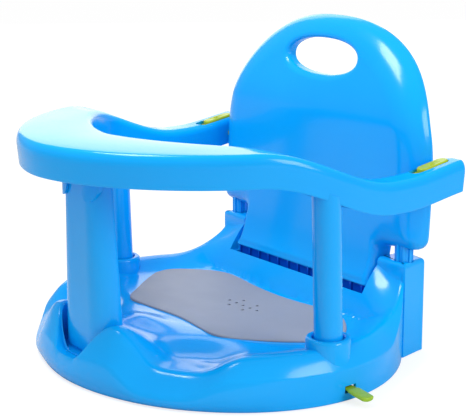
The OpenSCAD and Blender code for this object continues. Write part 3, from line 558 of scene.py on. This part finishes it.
def rear_block_plan():
    """Plan of the pillars and the wall between: straight sides, round corners, a parabola for the bow."""
    x = np.linspace(123, -123, 41)
    back = np.stack([x, PILLAR_BACK_Y + REAR_BOW * (1 - (x / 127) ** 2)], 1)
    q = np.linspace(0, np.pi / 2, 7)[:-1]
    corner = BLOCK_CORNER + BLOCK_CORNER_R * np.stack([np.cos(q), np.sin(q)], 1)
    side = mix(BLOCK_SIDE[0], BLOCK_SIDE[1], np.linspace(0, 1, 8)[:-1, None])
    front = level(np.array([[-132.0], [-60.0], [0.0], [60.0], [132.0]]), BLOCK_Y)
    right = np.concatenate([side, corner])
    return np.concatenate([front, right, back, (right * [-1, 1])[::-1]])


def collar():
    """The post collar: a round boss with a rounded lip."""
    return turned([(COLLAR_R, BORE_Z - 2.8), (COLLAR_R, 48.6), (COLLAR_R - 0.4, 50), (COLLAR_R - 1.2, 51),
                   (COLLAR_R - 2.4, COLLAR_H), (6, COLLAR_H)], 96, (POST_X, POST_Y))


def collar_bore():
    """The hole for a post, with an eased mouth."""
    r = POST_R + 1.4
    return turned([(r, BORE_Z), (r, COLLAR_H - 1.6), (r + 0.5, COLLAR_H - 0.6), (r + 1.6, COLLAR_H + 0.1),
                   (r + 1.6, COLLAR_H + 4)], 96, (POST_X, POST_Y))


def base_cuts():
    """Cutters of the backrest's slot, the leg's pocket, the bores, the peg holes, tab slots and drains."""
    (sx, sy), (rx, ry) = SIDE_CUP, REAR_CUP
    cuts = [block(-96, 96, LIP_Y + 1, 97.5, 34, 70),
            prism(leg_plan(LEG_CLEAR), POCKET_Z, 90),
            mirrored(collar_bore()),
            mirrored(turned([(PEG_R + PEG_CLEAR, 50), (PEG_R + PEG_CLEAR, 100)], 48, (PEG_X, PEG_Y))),
            mirrored(block(sx + 26, 190, sy - TAB_HALF_W, sy + TAB_HALF_W, TAB_Z0, TAB_Z1)),
            mirrored(block(rx - TAB_HALF_W, rx + TAB_HALF_W, ry + 29, 150, TAB_Z0, TAB_Z1))]
    return joined(*cuts, *[turned([(DRAIN_R, 5), (DRAIN_R, 60)], 20, d) for d in DRAINS])


# Drains: five in a row across the seat, a pair ahead and a pair behind; their steps, row and radius in the base
DRAIN_STEP, DRAIN_ROW_STEP, DRAIN_Y, DRAIN_R = 10.4, 8.6, 20.0, 2.1
DRAINS = [(i * DRAIN_STEP, DRAIN_Y) for i in (-2, -1, 0, 1, 2)]
DRAINS += [(i * DRAIN_STEP, DRAIN_Y + j * DRAIN_ROW_STEP) for i in (-1, 1) for j in (-1, 1)]
# Plan of the hollow under the rear deck and the pillars
REAR_HOLLOW = np.array([[-118.0, 93], [118, 93], [124, 124], [118, 128], [0, 136], [-118, 128], [-124, 124]])

base = piece("base_moulding", base_shell())
rear_block = tube(np.stack(rounded_rings(rear_block_plan(), 0, PILLAR_H, 4.0, 5)))
carve(base, piece("extras", joined(rear_block, mirrored(collar()))), "UNION")
carve(base, piece("window", block(-WINDOW_X, WINDOW_X, LIP_Y, 170, LIP_H, 130)))
carve(base, piece("cuts", base_cuts()))
carve(base, piece("hollow", prism(REAR_HOLLOW, -1, 44)))
dress(base, shell_blue, nodes=["base"], crease=34)


# Seat pad

# Points on the right half of the pad's outline, from the front to the rear
PAD = [(0, -54), (20, -56), (40, -60), (62, -63), (78, -56), (95, -38), (111, -20), (124, -3),
       (132, 12), (131, 28), (118, 44), (97, 59), (74, 65), (30, 62), (0, 61)]
PAD_DRAIN_R = 1.6


def pad_plan(count):
    """Outline of the pad: a smooth curve through its points, a bean with its hollow towards the front."""
    half = np.array(PAD, float)
    loop = np.concatenate([half, (half[-2:0:-1]) * [-1, 1]])
    return resample(spline(loop, 12), count)


def seat_mat():
    """The pad: a thin sheet that follows the dish, with a rounded edge."""
    loop = pad_plan(360)
    middle = np.array([0.0, 15.0])

    def at(plan, lift):
        return np.column_stack([plan, SEAT_H + 0.3 + dish(plan[:, 0], plan[:, 1]) + lift])

    shares = np.linspace(0.04, 0.96, 24)
    under = [at(middle + (inset(loop, 2.2) - middle) * k, 0.0) for k in shares] + [at(inset(loop, 0.3), 0.0)]
    q = np.linspace(0, np.pi / 2, 6)
    edge = [at(inset(loop, 1.5 * (1 - math.cos(t))), 1.6 + 1.4 * math.sin(t)) for t in q]
    over = [at(middle + (inset(loop, 2.2) - middle) * k, 3.0) for k in shares[::-1]]
    return tube(np.stack(under + edge + over))


mat_piece = piece("seat_mat", seat_mat())
holes = [turned([(PAD_DRAIN_R, 20), (PAD_DRAIN_R, 40)], 20, d) for d in DRAINS]
carve(mat_piece, piece("drains", joined(*holes)))
dress(mat_piece, pad_grey, nodes=["seat_pad"])


# Posts

def post_skin():
    """A post: a round tube that leans forward, cut to the slope of the arm above it."""
    a = np.linspace(0, 2 * np.pi, 96, endpoint=False)
    rows = []
    for z in (BORE_Z + 0.5, 60.0, 110.0, None):
        x, y = POST_R * np.cos(a), POST_R * np.sin(a)
        h = np.full(96, z) if z is not None else ring_top(POST_Y + y - 4) - RING_H + 6
        rows.append(np.stack([POST_X + x, POST_Y + y - (h - COLLAR_H) * math.tan(POST_LEAN), h], -1))
    return tube(np.stack(rows))


def ring_top(y):
    """Height of the ring: a flat tray, a dip over the posts and a rise at the rear ends."""
    return TRAY_H - ARM_DIP * ease((y + 80) / 130) + ARM_RISE * ease((y - 62) / 88)


for side, skin in (("right", post_skin()), ("left", flipped(post_skin()))):
    dress(piece("post_tube_" + side, skin), shell_blue, nodes=["post_" + side])


# Front leg

def leg_size(z):
    """Width, depth and place of the leg at a height: a straight taper that leans forward."""
    t = (z - LEG_FOOT_Z) / (TRAY_H - RING_H - LEG_FOOT_Z)
    return mix(LEG_FOOT_W, LEG_TOP_W, t), LEG_D - 2.5 * t, LEG_Y - LEG_LEAN * t


def leg_skin():
    """The leg: a channel's section carried up, narrower towards the tray; its back edges are rounded."""
    rows = []
    for z in np.concatenate([LEG_FOOT_Z + np.array([0, 0.3, 1.1, 2.7]), np.linspace(36, 205, 30), [208.5]]):
        w, d, y = leg_size(z)
        tuck = 1.2 * (1 - min(1.0, (z - LEG_FOOT_Z) / 2.7)) ** 2
        outer, inner = leg_front(w - 2 * tuck, d - tuck), leg_front(w - 2 * SKIN, d - SKIN)[::-1]
        t = np.linspace(0, np.pi, 7)[1:-1]
        turn = np.stack([-w / 2 + SKIN / 2 - SKIN / 2 * np.cos(t), -SKIN / 2 * np.sin(t)], 1)
        p = np.concatenate([outer, turn, inner, (turn * [-1, 1])[::-1]])
        rows.append(np.column_stack([p[:, 0], y - p[:, 1], np.full(len(p), z)]))
    return channel(np.stack(rows), len(outer), 5)


def channel(rings, n, m):
    """Closed skin over the rings of a thick-walled channel: n points on each face, m round each edge."""
    rows, cols = rings.shape[:2]
    faces = quads(rows, cols, False, True).tolist()
    i = np.arange(n - 1)
    inner = 2 * n + m - 1 - i
    cap = np.stack([i, i + 1, inner - 1, inner], 1)
    far = [n - 1, *range(n, n + m), n + m]
    near = [0, *range(cols - 1, 2 * n + m - 1, -1), 2 * n + m - 1]
    for base_row in (0, (rows - 1) * cols):
        faces += (cap + base_row).tolist() + [[v + base_row for v in far], [v + base_row for v in near]]
    return rings.reshape(-1, 3), faces


dress(piece("leg_channel", leg_skin()), shell_blue, nodes=["front_leg"])


# Tray ring

def ring_edges():
    """Outer and inner plan lines of the ring, from the right arm's end round the front to the left arm's end.

    The front of each is a quarter of a rounded outline |x / a|^n + |y / b|^n = 1, and the arms are straight.
    """
    wall_y = ARM_END_Y - SKIN
    arm = np.concatenate([ARM_END_Y - 2 + 2 * np.sin(np.linspace(np.pi / 2, 0, 6)), [wall_y, wall_y - 0.01],
                          np.linspace(126, 4, 70)])
    q = np.linspace(0, np.pi / 2, 110)
    outer = np.stack([ARM_OUT * power(np.cos(q), 2 / TRAY_N), -TRAY_FRONT * power(np.sin(q), 2 / TRAY_N)], 1)
    inner = np.stack([ARM_IN * power(np.cos(q), 2 / OPENING_N),
                      OPENING_MID_Y - (OPENING_FRONT + OPENING_MID_Y) * power(np.sin(q), 2 / OPENING_N)], 1)
    chamfer = 7.0 * np.clip((arm - 123.5) / 7.5, 0, 1)
    right_out = np.column_stack([np.full(len(arm), ARM_OUT), arm])
    right_in = np.column_stack([ARM_IN + chamfer, arm - 0.12 * (ARM_END_Y - arm)])
    right_in[arm > 120, 1] = arm[arm > 120] - 0.3
    return both_halves(np.concatenate([right_out, outer])), both_halves(np.concatenate([right_in, inner]))


def ring_skin():
    """The ring: a hollow section open below, with rounded shoulders, carried round its plan lines.

    A path holds steps in from an outline and down from the top. Where the ring is wide its top crowns by
    2.2 times 4 k (1 - k), with k the share of the width. The ends of the arms are closed by a wall.
    """
    outer, inner = ring_edges()
    q = np.linspace(0, np.pi / 2, 9)
    down = RING_H
    out_path = [(1.9, down), (1.5, down - 0.6)]
    out_path += [(mix(1.4, 0, k), mix(down - 2, 11, k)) for k in (0, 0.5, 1)]
    out_path += [(5.5 * (1 - math.cos(t)), 9 * (1 - math.sin(t))) for t in q]
    in_path = [(7 * (1 - math.cos(t)), 8 * (1 - math.sin(t))) for t in q[::-1]]
    in_path += [(0.3, 16), (0.7, down - 2), (0.9, down - 0.5), (1.3, down)]
    out_core = [(4.6, down), (4.2, down - 2), (3.2, 12), (3.6, 7), (5, 4.2), (8, 3)]
    in_core = [(4.4, down), (4.0, down - 2), (3.4, 14), (3.6, 8), (6, 4.2), (9, 3)]

    span = inner - outer
    width = np.linalg.norm(span, axis=1)
    u = span / width[:, None]
    y_end = outer[:, 1] > ARM_END_Y - SKIN - 0.005
    past = outer[:, 1] - (ARM_END_Y - 2)
    tuck = np.where(past > 0, 2 - np.sqrt(np.clip(4 - past**2, 0, 4)), 0)

    def crown(d):
        return 2.2 * ease((width - 40) / 40) * 4 * (d / width) * (1 - d / width)

    def rows(path, start, sign, core=False):
        cols = []
        for d, h in path:
            p = start + sign * u * (d + tuck[:, None] * (not core))
            drop = np.where(y_end & core, down, h) + (tuck if not core and h < 14 else 0)
            cols.append(np.column_stack([p, ring_top(p[:, 1]) - drop + crown(d) * (not core)]))
        return cols

    middle = []
    for k in np.linspace(0.12, 0.88, 9):
        d = mix(5.5, width - 7, k)
        p = outer + u * d[:, None]
        middle.append(np.column_stack([p, ring_top(p[:, 1]) - tuck + crown(d)]))
    over = rows(out_path, outer, 1) + middle + rows(in_path, inner, -1)
    mid_core = []
    for k in np.linspace(0.1, 0.9, len(over) - len(out_core) - len(in_core)):
        p = outer + u * mix(8.0, width - 9, k)[:, None]
        mid_core.append(np.column_stack([p, ring_top(p[:, 1]) - np.where(y_end, down, 3.0)]))
    core = rows(out_core, outer, 1, True) + mid_core + rows(in_core, inner, -1, True)[::-1]
    section = np.stack(over + core[::-1], 1)
    return folded(section)


def local(points):
    """Points of the latch's own frame in the seat's: tilted with the arm, at the button."""
    c, s = math.cos(LATCH_SLOPE), math.sin(LATCH_SLOPE)
    x, y, z = np.moveaxis(np.asarray(points, float), -1, 0)
    return np.stack([LATCH_X + x, LATCH_Y + y * c - z * s, ring_top(np.array(LATCH_Y)) + y * s + z * c], -1)


def stadium(half_w, y0, y1, count=16):
    """Plan of a slot with round ends, running along Y."""
    q = np.linspace(0, np.pi, count)
    top = np.stack([half_w * np.cos(q), y1 - half_w + half_w * np.sin(q)], 1)
    low = np.stack([-half_w * np.cos(q), y0 + half_w - half_w * np.sin(q)], 1)
    return np.concatenate([top, low])


def latch_slot():
    """The cutter of a button's slot."""
    loop = stadium(BUTTON_W / 2 + 0.5, -BUTTON_L / 2 - LATCH_TRAVEL - 1.2, BUTTON_L / 2 + 0.5)
    p, f = prism(loop, -9, 9)
    return local(p), f


ring = piece("ring_moulding", ring_skin())
carve(ring, piece("slots", mirrored(latch_slot())))
dress(ring, shell_blue, nodes=["tray_ring"], crease=36)


def lug_skin():
    """A lug under the tray: a plate over the leg's front with a round lower end."""
    under_ring = TRAY_H - RING_H
    low_z = under_ring - LUG_DROP
    w, d, y = leg_size(low_z)
    k = np.linspace(-1, 1, 33)
    x = LUG_X + LUG_HALF_W * k
    low = low_z + LUG_ROUND * (1 - np.sqrt(np.clip(1 - np.abs(k) ** 2.2, 0, 1)))
    z = mix(low[None, :], under_ring + 12.0, np.linspace(0, 1, 16)[:, None])

    def face(grow):
        front = leg_front(w + 2 * grow, d + grow)
        at = y - np.interp(x, front[::-1, 0], front[::-1, 1])
        return np.stack([np.broadcast_to(x, z.shape), np.broadcast_to(at, z.shape), z], -1)

    return slab(face(2.6), face(0.4))


lugs = piece("leg_lugs", mirrored(lug_skin()))
dress(lugs, shell_blue)


# Backrest

def back_face(z):
    """Place along Y of the backrest's front at a height.

    From the tongue up it runs back by 14 (1 - exp(-up / 20)), leans 1 in 50, and eases 14 more near the top.
    """
    up = z - 62
    return 84 + 14 * (1 - np.exp(-np.maximum(up, -2) / 20)) + 0.02 * up + 14 * ease((z - 205) / 85)


def back_outline(count=400):
    """Front outline: the tongue, a step out to the ears, upright sides and a round arch, evenly spaced."""
    q = np.linspace(0, np.pi / 2, 90)
    rise = (BACK_TOP - ARCH_Z) * power(np.sin(q), 2 / ARCH_N)
    arch = np.stack([BACK_HALF * power(np.cos(q), 2 / ARCH_N), ARCH_Z + rise], 1)
    t = np.linspace(0, np.pi / 2, 9)
    foot = np.stack([TONGUE_HALF - 4 + 4 * np.sin(t), TONGUE_Z + 4 - 4 * np.cos(t)], 1)
    inner_turn = np.stack([TONGUE_HALF + 4 - 4 * np.cos(t), EAR_Z - 4 + 4 * np.sin(t)], 1)
    ear = np.stack([BACK_HALF - 12 + 12 * np.sin(t), EAR_Z + 1.5 + 12 - 12 * np.cos(t)], 1)
    half = np.concatenate([[[0, TONGUE_Z]], foot, inner_turn, ear, arch])
    return resample(np.concatenate([half, (half[-2:0:-1]) * [-1, 1]]), count)


def back_skin():
    """The backrest: rings from the rolled edge in to the hand hole, back through it, and out again behind.

    Each point lies behind the face by depth (1 - sqrt(1 - e^2)), with e = 1 at the outline and 0 where the
    roll ends. Its distance from the outline is the smooth one: the sum over the outline of dl / r^5, to the
    power -1/4, which beside a straight line is the distance itself once the sum is divided by 4/3.
    """
    loop = back_outline()
    step = np.linalg.norm(loop[1] - loop[0])
    v = np.array([0.0, 160.0]) - loop
    u = v / np.linalg.norm(v, axis=1)[:, None]
    reach, mouth, throat = 12.0, 6, 5
    phi = np.linspace(-0.5, 1.5, len(loop), endpoint=False) * np.pi
    hole = np.stack([power(np.cos(phi), 2 / 2.15), power(np.sin(phi), 2 / 2.15)], 1)

    def hand(grow):
        return hole * [HAND_W / 2 + grow, HAND_H / 2 + grow] + [0, HAND_Z]

    def depth(z):
        return mix(4.0, ROLL_D, ease((z - TONGUE_Z) / 10))

    def rolled(plan, skin, back=0.0):
        x, z = plan[:, 0], plan[:, 1]
        near = ((x[:, None] - loop[:, 0]) ** 2 + (z[:, None] - loop[:, 1]) ** 2 + 0.04) ** -2.5
        far = (near.sum(1) * step / 1.3333) ** -0.25 - skin
        e = np.clip(1 - far / (mix(7.0, ROLL_W, ease((z - 88) / 34)) - skin), 0, 1)
        behind = skin + (depth(z) - skin) * (1 - np.sqrt(1 - e**2))
        return np.stack([x, back_face(z) + behind + back, z], -1)

    def edge(d, back):
        plan = loop + u * d
        return np.stack([plan[:, 0], back_face(plan[:, 1]) + depth(loop[:, 1]) + back, plan[:, 1]], -1)

    steps = 1 - np.cos(np.linspace(0, np.pi / 2, 17))
    inner = loop + u * reach
    front = [rolled(loop + u * reach * t, 0.0) for t in steps]
    q = np.linspace(0, np.pi / 2, 8)
    shares = np.linspace(0, 1, 62)[1:-1] ** 1.25
    front += [rolled(mix(inner, hand(mouth), k), 0.0) for k in shares]
    front += [rolled(hand(mouth * (1 - math.sin(t))), 0.0, throat * (1 - math.cos(t))) for t in q]
    bore = ((0, 7.0), (0, 9.5), (0, 11.5), (0.8, 12.5), (2.2, 12.5), (3, 11.5))
    through = [rolled(hand(grow), 0.0, back) for grow, back in bore]
    rear = [rolled(hand(SKIN), SKIN, 4.0), rolled(hand(3.2), SKIN, 1.2), rolled(hand(4.4), SKIN)]
    rear += [rolled(mix(inner, hand(mouth), k), SKIN) for k in shares[::-1]]
    rear += [rolled(loop + u * (SKIN + t * (reach - SKIN)), SKIN) for t in steps[::-1]]
    half_skin = SKIN / 2
    half_turn = np.linspace(0, np.pi, 7)[1:-1]
    rim = [edge(half_skin * (1 + math.cos(t)), half_skin * math.sin(t)) for t in half_turn]
    return torus(np.stack(front + through + rear + rim))


def peg_skin():
    """A ribbed peg: a round bar with eight ribs along it."""
    a = np.linspace(0, 2 * np.pi, 128, endpoint=False)
    r = np.where(np.cos(8 * a) > 0.1, PEG_R, PEG_R - 1.5)
    plan = np.stack([PEG_X + r * np.cos(a), PEG_Y + r * np.sin(a)], 1)
    return prism(plan, 50.4, EAR_Z + 6)


def ear_floor():
    """The underside of an ear, which carries the peg."""
    x = np.linspace(TONGUE_HALF + 3, BACK_HALF - 4, 13)
    y = np.linspace(111, 120, 9)[:, None]
    z = EAR_Z + 1.8 + 6 * ease((x - 128) / 14)[None, :] + 0 * y
    thick = 2.5
    top = np.stack([np.broadcast_to(x, z.shape), np.broadcast_to(y, z.shape), z + thick], -1)
    return slab(top, top - [0, 0, thick])


def tenon_skin():
    """The tongue that goes down into the base's slot: a plate with thirteen ribs at even steps."""
    step, low = 15.1, 42
    ribs = [block(i * step - 1, i * step + 1, 86.5, 92, low, TONGUE_Z + 1) for i in range(-6, 7)]
    return joined(block(-93.5, 93.5, 88.5, 90.5, low, TONGUE_Z + 5), *ribs)


back = piece("back_panel", back_skin())
dress(back, shell_blue, nodes=["backrest"], crease=40)
dress(piece("back_pegs", mirrored(peg_skin())), shell_blue, crease=30)
dress(piece("back_ears", mirrored(ear_floor())), shell_blue)
# The tongue gets the darker blue: painted shade of the slot it stands in
dress(piece("back_tenon", tenon_skin()), slot_shade_blue, crease=30)


# Latches

def button_skin():
    """A latch button: a slot-shaped block with rounded shoulders, a low ridge across it and two dips.

    Ridge and dips are exp(-(distance / half width)^2) along the button.
    """
    loop = stadium(BUTTON_W / 2, -BUTTON_L / 2 + BUTTON_SHORT, BUTTON_L / 2, 20)
    rings = rounded_rings(loop, -11.0, BUTTON_PROUD, BUTTON_R, 6)
    top = inset(loop, BUTTON_R)
    rings += [level(mix(top.mean(0), top, k), BUTTON_PROUD) for k in np.linspace(0.93, 0.05, 14)]
    p, f = tube(np.stack(rings))
    on_top = p[:, 2] > BUTTON_PROUD - 0.05
    y = p[:, 1]
    ridge = 1.1 * np.exp(-((y / 1.6) ** 2))
    dips = [0.7 * np.exp(-(((y - at) / 3.2) ** 2)) for at in (5, -5)]
    p[:, 2] += np.where(on_top, ridge - dips[0] - dips[1], 0)
    return local(p), f


def slide_skin():
    """The slide under a button, a solid block here, and the tongue that holds the backrest."""
    p, f = joined(block(-7.5, 7.5, -21.5, 19.5, -18.4, -3.4), block(-14.5, 0, 6, 11, -18.4, -14.4))
    return local(p), f


def spring_room():
    """The cutter of a pocket in a slide's front: room for the rigid spring when the latch is open."""
    p, f = block(-4, 4, -22, -15.9, -15.0, -6.8)
    return local(p), f


for side, turn in (("right", lambda s: s), ("left", flipped)):
    button = piece("button_" + side, turn(joined(button_skin(), slide_skin())))
    carve(button, piece("spring_room", turn(spring_room())))
    dress(button, button_lime, "latch_" + side, ["latch_" + side], crease=42)

for node, material in (("latch_spring_right", steel), ("latch_spring_left", steel), ("cover_screws", steel),
                       ("latch_cover_right", shell_blue), ("latch_cover_left", shell_blue)):
    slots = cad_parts[node].data.materials
    slots.clear()
    slots.append(material)


# Suction cups

def cup_skin(at, wall, along):
    """A soft bell with a stem, and a release tab: a strip with a round end that runs out through the wall.

    The tab starts 17 mm from the cup's middle, passes the wall at a height of 8.5 mm, and ends 23 mm past it.
    Its section is a rounded outline, wider and thicker outside; its tip narrows as (1 - t^3)^0.4 over 4 mm.
    """
    bell = turned([(2, 4.4), (10, 3.6), (17.5, 1.6), (21, 0), (CUP_R, 0), (CUP_R, 1.4), (20.5, 3.6),
                   (12.5, 6.2), (6.5, 8.2), (5, 9.7), (5, 15.5), (4.4, 16)], 72, at)
    start, tip_at, tip_l = 17, wall + 19, 4
    s = np.concatenate([np.linspace(start, wall - 8, 10), np.linspace(wall - 6, tip_at, 22)[:-1],
                        tip_at + tip_l * np.sin(np.linspace(0, np.pi / 2, 9))])
    rise = np.interp(s, [start, 23, wall - 8, wall + 1, tip_at + tip_l], [3.2, 2.4, 8.5, 8.5, 6.0])
    rise = np.convolve(np.pad(rise, 2, mode="edge"), np.ones(5) / 5, "valid")
    tip = np.clip((s - tip_at) / tip_l, 0, 0.999)
    half = (5.2 + 1.3 * ease((s - wall - 1) / 4)) * (1 - tip**3) ** 0.4
    q = np.linspace(0, 2 * np.pi, 28, endpoint=False)
    across, up = power(np.cos(q), 0.55), power(np.sin(q), 0.75)
    thick = np.minimum(1.25 + 0.5 * ease((s - wall - 1) / 4), half * 0.5)
    x = s[:, None] + 0 * q
    y = half[:, None] * across[None, :]
    z = rise[:, None] + 1.25 + thick[:, None] * up[None, :]
    if along == "y":
        strip = np.stack([at[0] - y, at[1] + x, z], -1)
    else:
        strip = np.stack([at[0] + x, at[1] + y, z], -1)
    return joined(bell, tube(strip))


side_cup = cup_skin(SIDE_CUP, BASE_W - SIDE_CUP[0], "x")
rear_cup = cup_skin(REAR_CUP, PILLAR_BACK_Y + REAR_BOW * 0.7 - REAR_CUP[1], "y")
for name, skin in (("right", side_cup), ("left", flipped(side_cup)),
                   ("rear_right", rear_cup), ("rear_left", flipped(rear_cup))):
    dress(piece("cup_" + name, skin), cup_green, nodes=["suction_cup_" + name], crease=50)


# Floor, light and camera

def floor():
    """A pale square sheet that the camera sees as white, and that keeps the seat's shadow."""
    mesh = bpy.data.meshes.new("floor")
    r, z = 6.0, -0.0005
    mesh.from_pydata([(-r, -r, z), (r, -r, z), (r, r, z), (-r, r, z)], [], [(0, 1, 2, 3)])
    obj = bpy.data.objects.new("floor", mesh)
    bpy.context.scene.collection.objects.link(obj)
    mat, tree, shader, _ = finish("floor_white")
    shader.inputs["Base Color"].default_value = (0.7, 0.7, 0.7, 1)
    shader.inputs["Roughness"].default_value = 0.9
    shader.inputs["Specular IOR Level"].default_value = 0.0
    glow = tree.nodes.new("ShaderNodeEmission")
    ray = tree.nodes.new("ShaderNodeLightPath")
    seen = Val(tree, ray.outputs["Is Camera Ray"])
    glow.inputs["Strength"].default_value = 1.5
    amount = seen * 0.5
    both = tree.nodes.new("ShaderNodeMixShader")
    tree.links.new(amount.socket, both.inputs[0])
    tree.links.new(shader.outputs[0], both.inputs[1])
    tree.links.new(glow.outputs[0], both.inputs[2])
    tree.links.new(both.outputs[0], tree.nodes["Material Output"].inputs[0])
    obj.data.materials.append(mat)


def sky(plain, seen):
    """Light all round: of strength plain, of strength seen in reflections, and white to the camera."""
    world = bpy.data.worlds.new("studio")
    bpy.context.scene.world = world
    world.use_nodes = True
    tree = world.node_tree
    tree.nodes.clear()
    ray = tree.nodes.new("ShaderNodeLightPath")
    kinds = ("Is Camera Ray", "Is Glossy Ray", "Is Transmission Ray")
    camera, gloss, through = (Val(tree, ray.outputs[kind]) for kind in kinds)
    white = camera.node("ShaderNodeMath", {"operation": "MAXIMUM"}, i0=camera, i1=through)
    level = white * (1 - plain) + gloss * (seen - plain) + plain
    back = tree.nodes.new("ShaderNodeBackground")
    back.inputs["Color"].default_value = (1, 1, 1, 1)
    tree.links.new(level.socket, back.inputs["Strength"])
    out = tree.nodes.new("ShaderNodeOutputWorld")
    tree.links.new(back.outputs[0], out.inputs[0])


def lamp(name, place, target, size, power_w):
    """A square soft lamp that looks at a point."""
    data = bpy.data.lights.new(name, "AREA")
    data.shape, data.size, data.energy = "SQUARE", size, power_w
    obj = bpy.data.objects.new(name, data)
    obj.location = place
    d = np.array(target) - np.array(place)
    a = math.atan2(d[1], d[0])
    obj.rotation_euler = (math.acos(-d[2] / np.linalg.norm(d)), 0, a - math.pi / 2)
    bpy.context.scene.collection.objects.link(obj)


def camera():
    """The photograph's view: a little above the seat, from its front right."""
    az, el, roll, dist = math.radians(52.90), math.radians(12.69), math.radians(0.19), 1.21515
    back_way = np.array([math.sin(az) * math.cos(el), -math.cos(az) * math.cos(el), math.sin(el)])
    data = bpy.data.cameras.new("camera")
    data.sensor_fit, data.sensor_width, data.lens = "HORIZONTAL", 36.0, 102.45
    data.shift_x, data.shift_y = 8.06 / VIEW_W, -17.72 / VIEW_W
    data.clip_start, data.clip_end = 0.05, 60
    obj = bpy.data.objects.new("camera", data)
    obj.location = np.array([0, ORIGIN[1] / 1000, 0.14508]) + back_way * dist
    obj.rotation_euler = (math.pi / 2 - el, roll, az)
    bpy.context.scene.collection.objects.link(obj)
    bpy.context.scene.camera = obj


floor()
sky(plain=0.68, seen=0.3)
# A small lamp above the tray, one at the view's right, and a wide one behind that shines on the tray's top
lamp("key", place=(-0.1, -0.3, 0.95), target=(0, 0.11, 0.2), size=0.3, power_w=4.8)
lamp("side", place=(2.2, 0.5, 1.1), target=(0, 0, 0.15), size=1.0, power_w=22)
lamp("sheen", place=(-2.3, 1.5, 1.15), target=(0, 0, 0.2), size=2.2, power_w=22)
camera()
bpy.context.scene.view_settings.view_transform = "Standard"
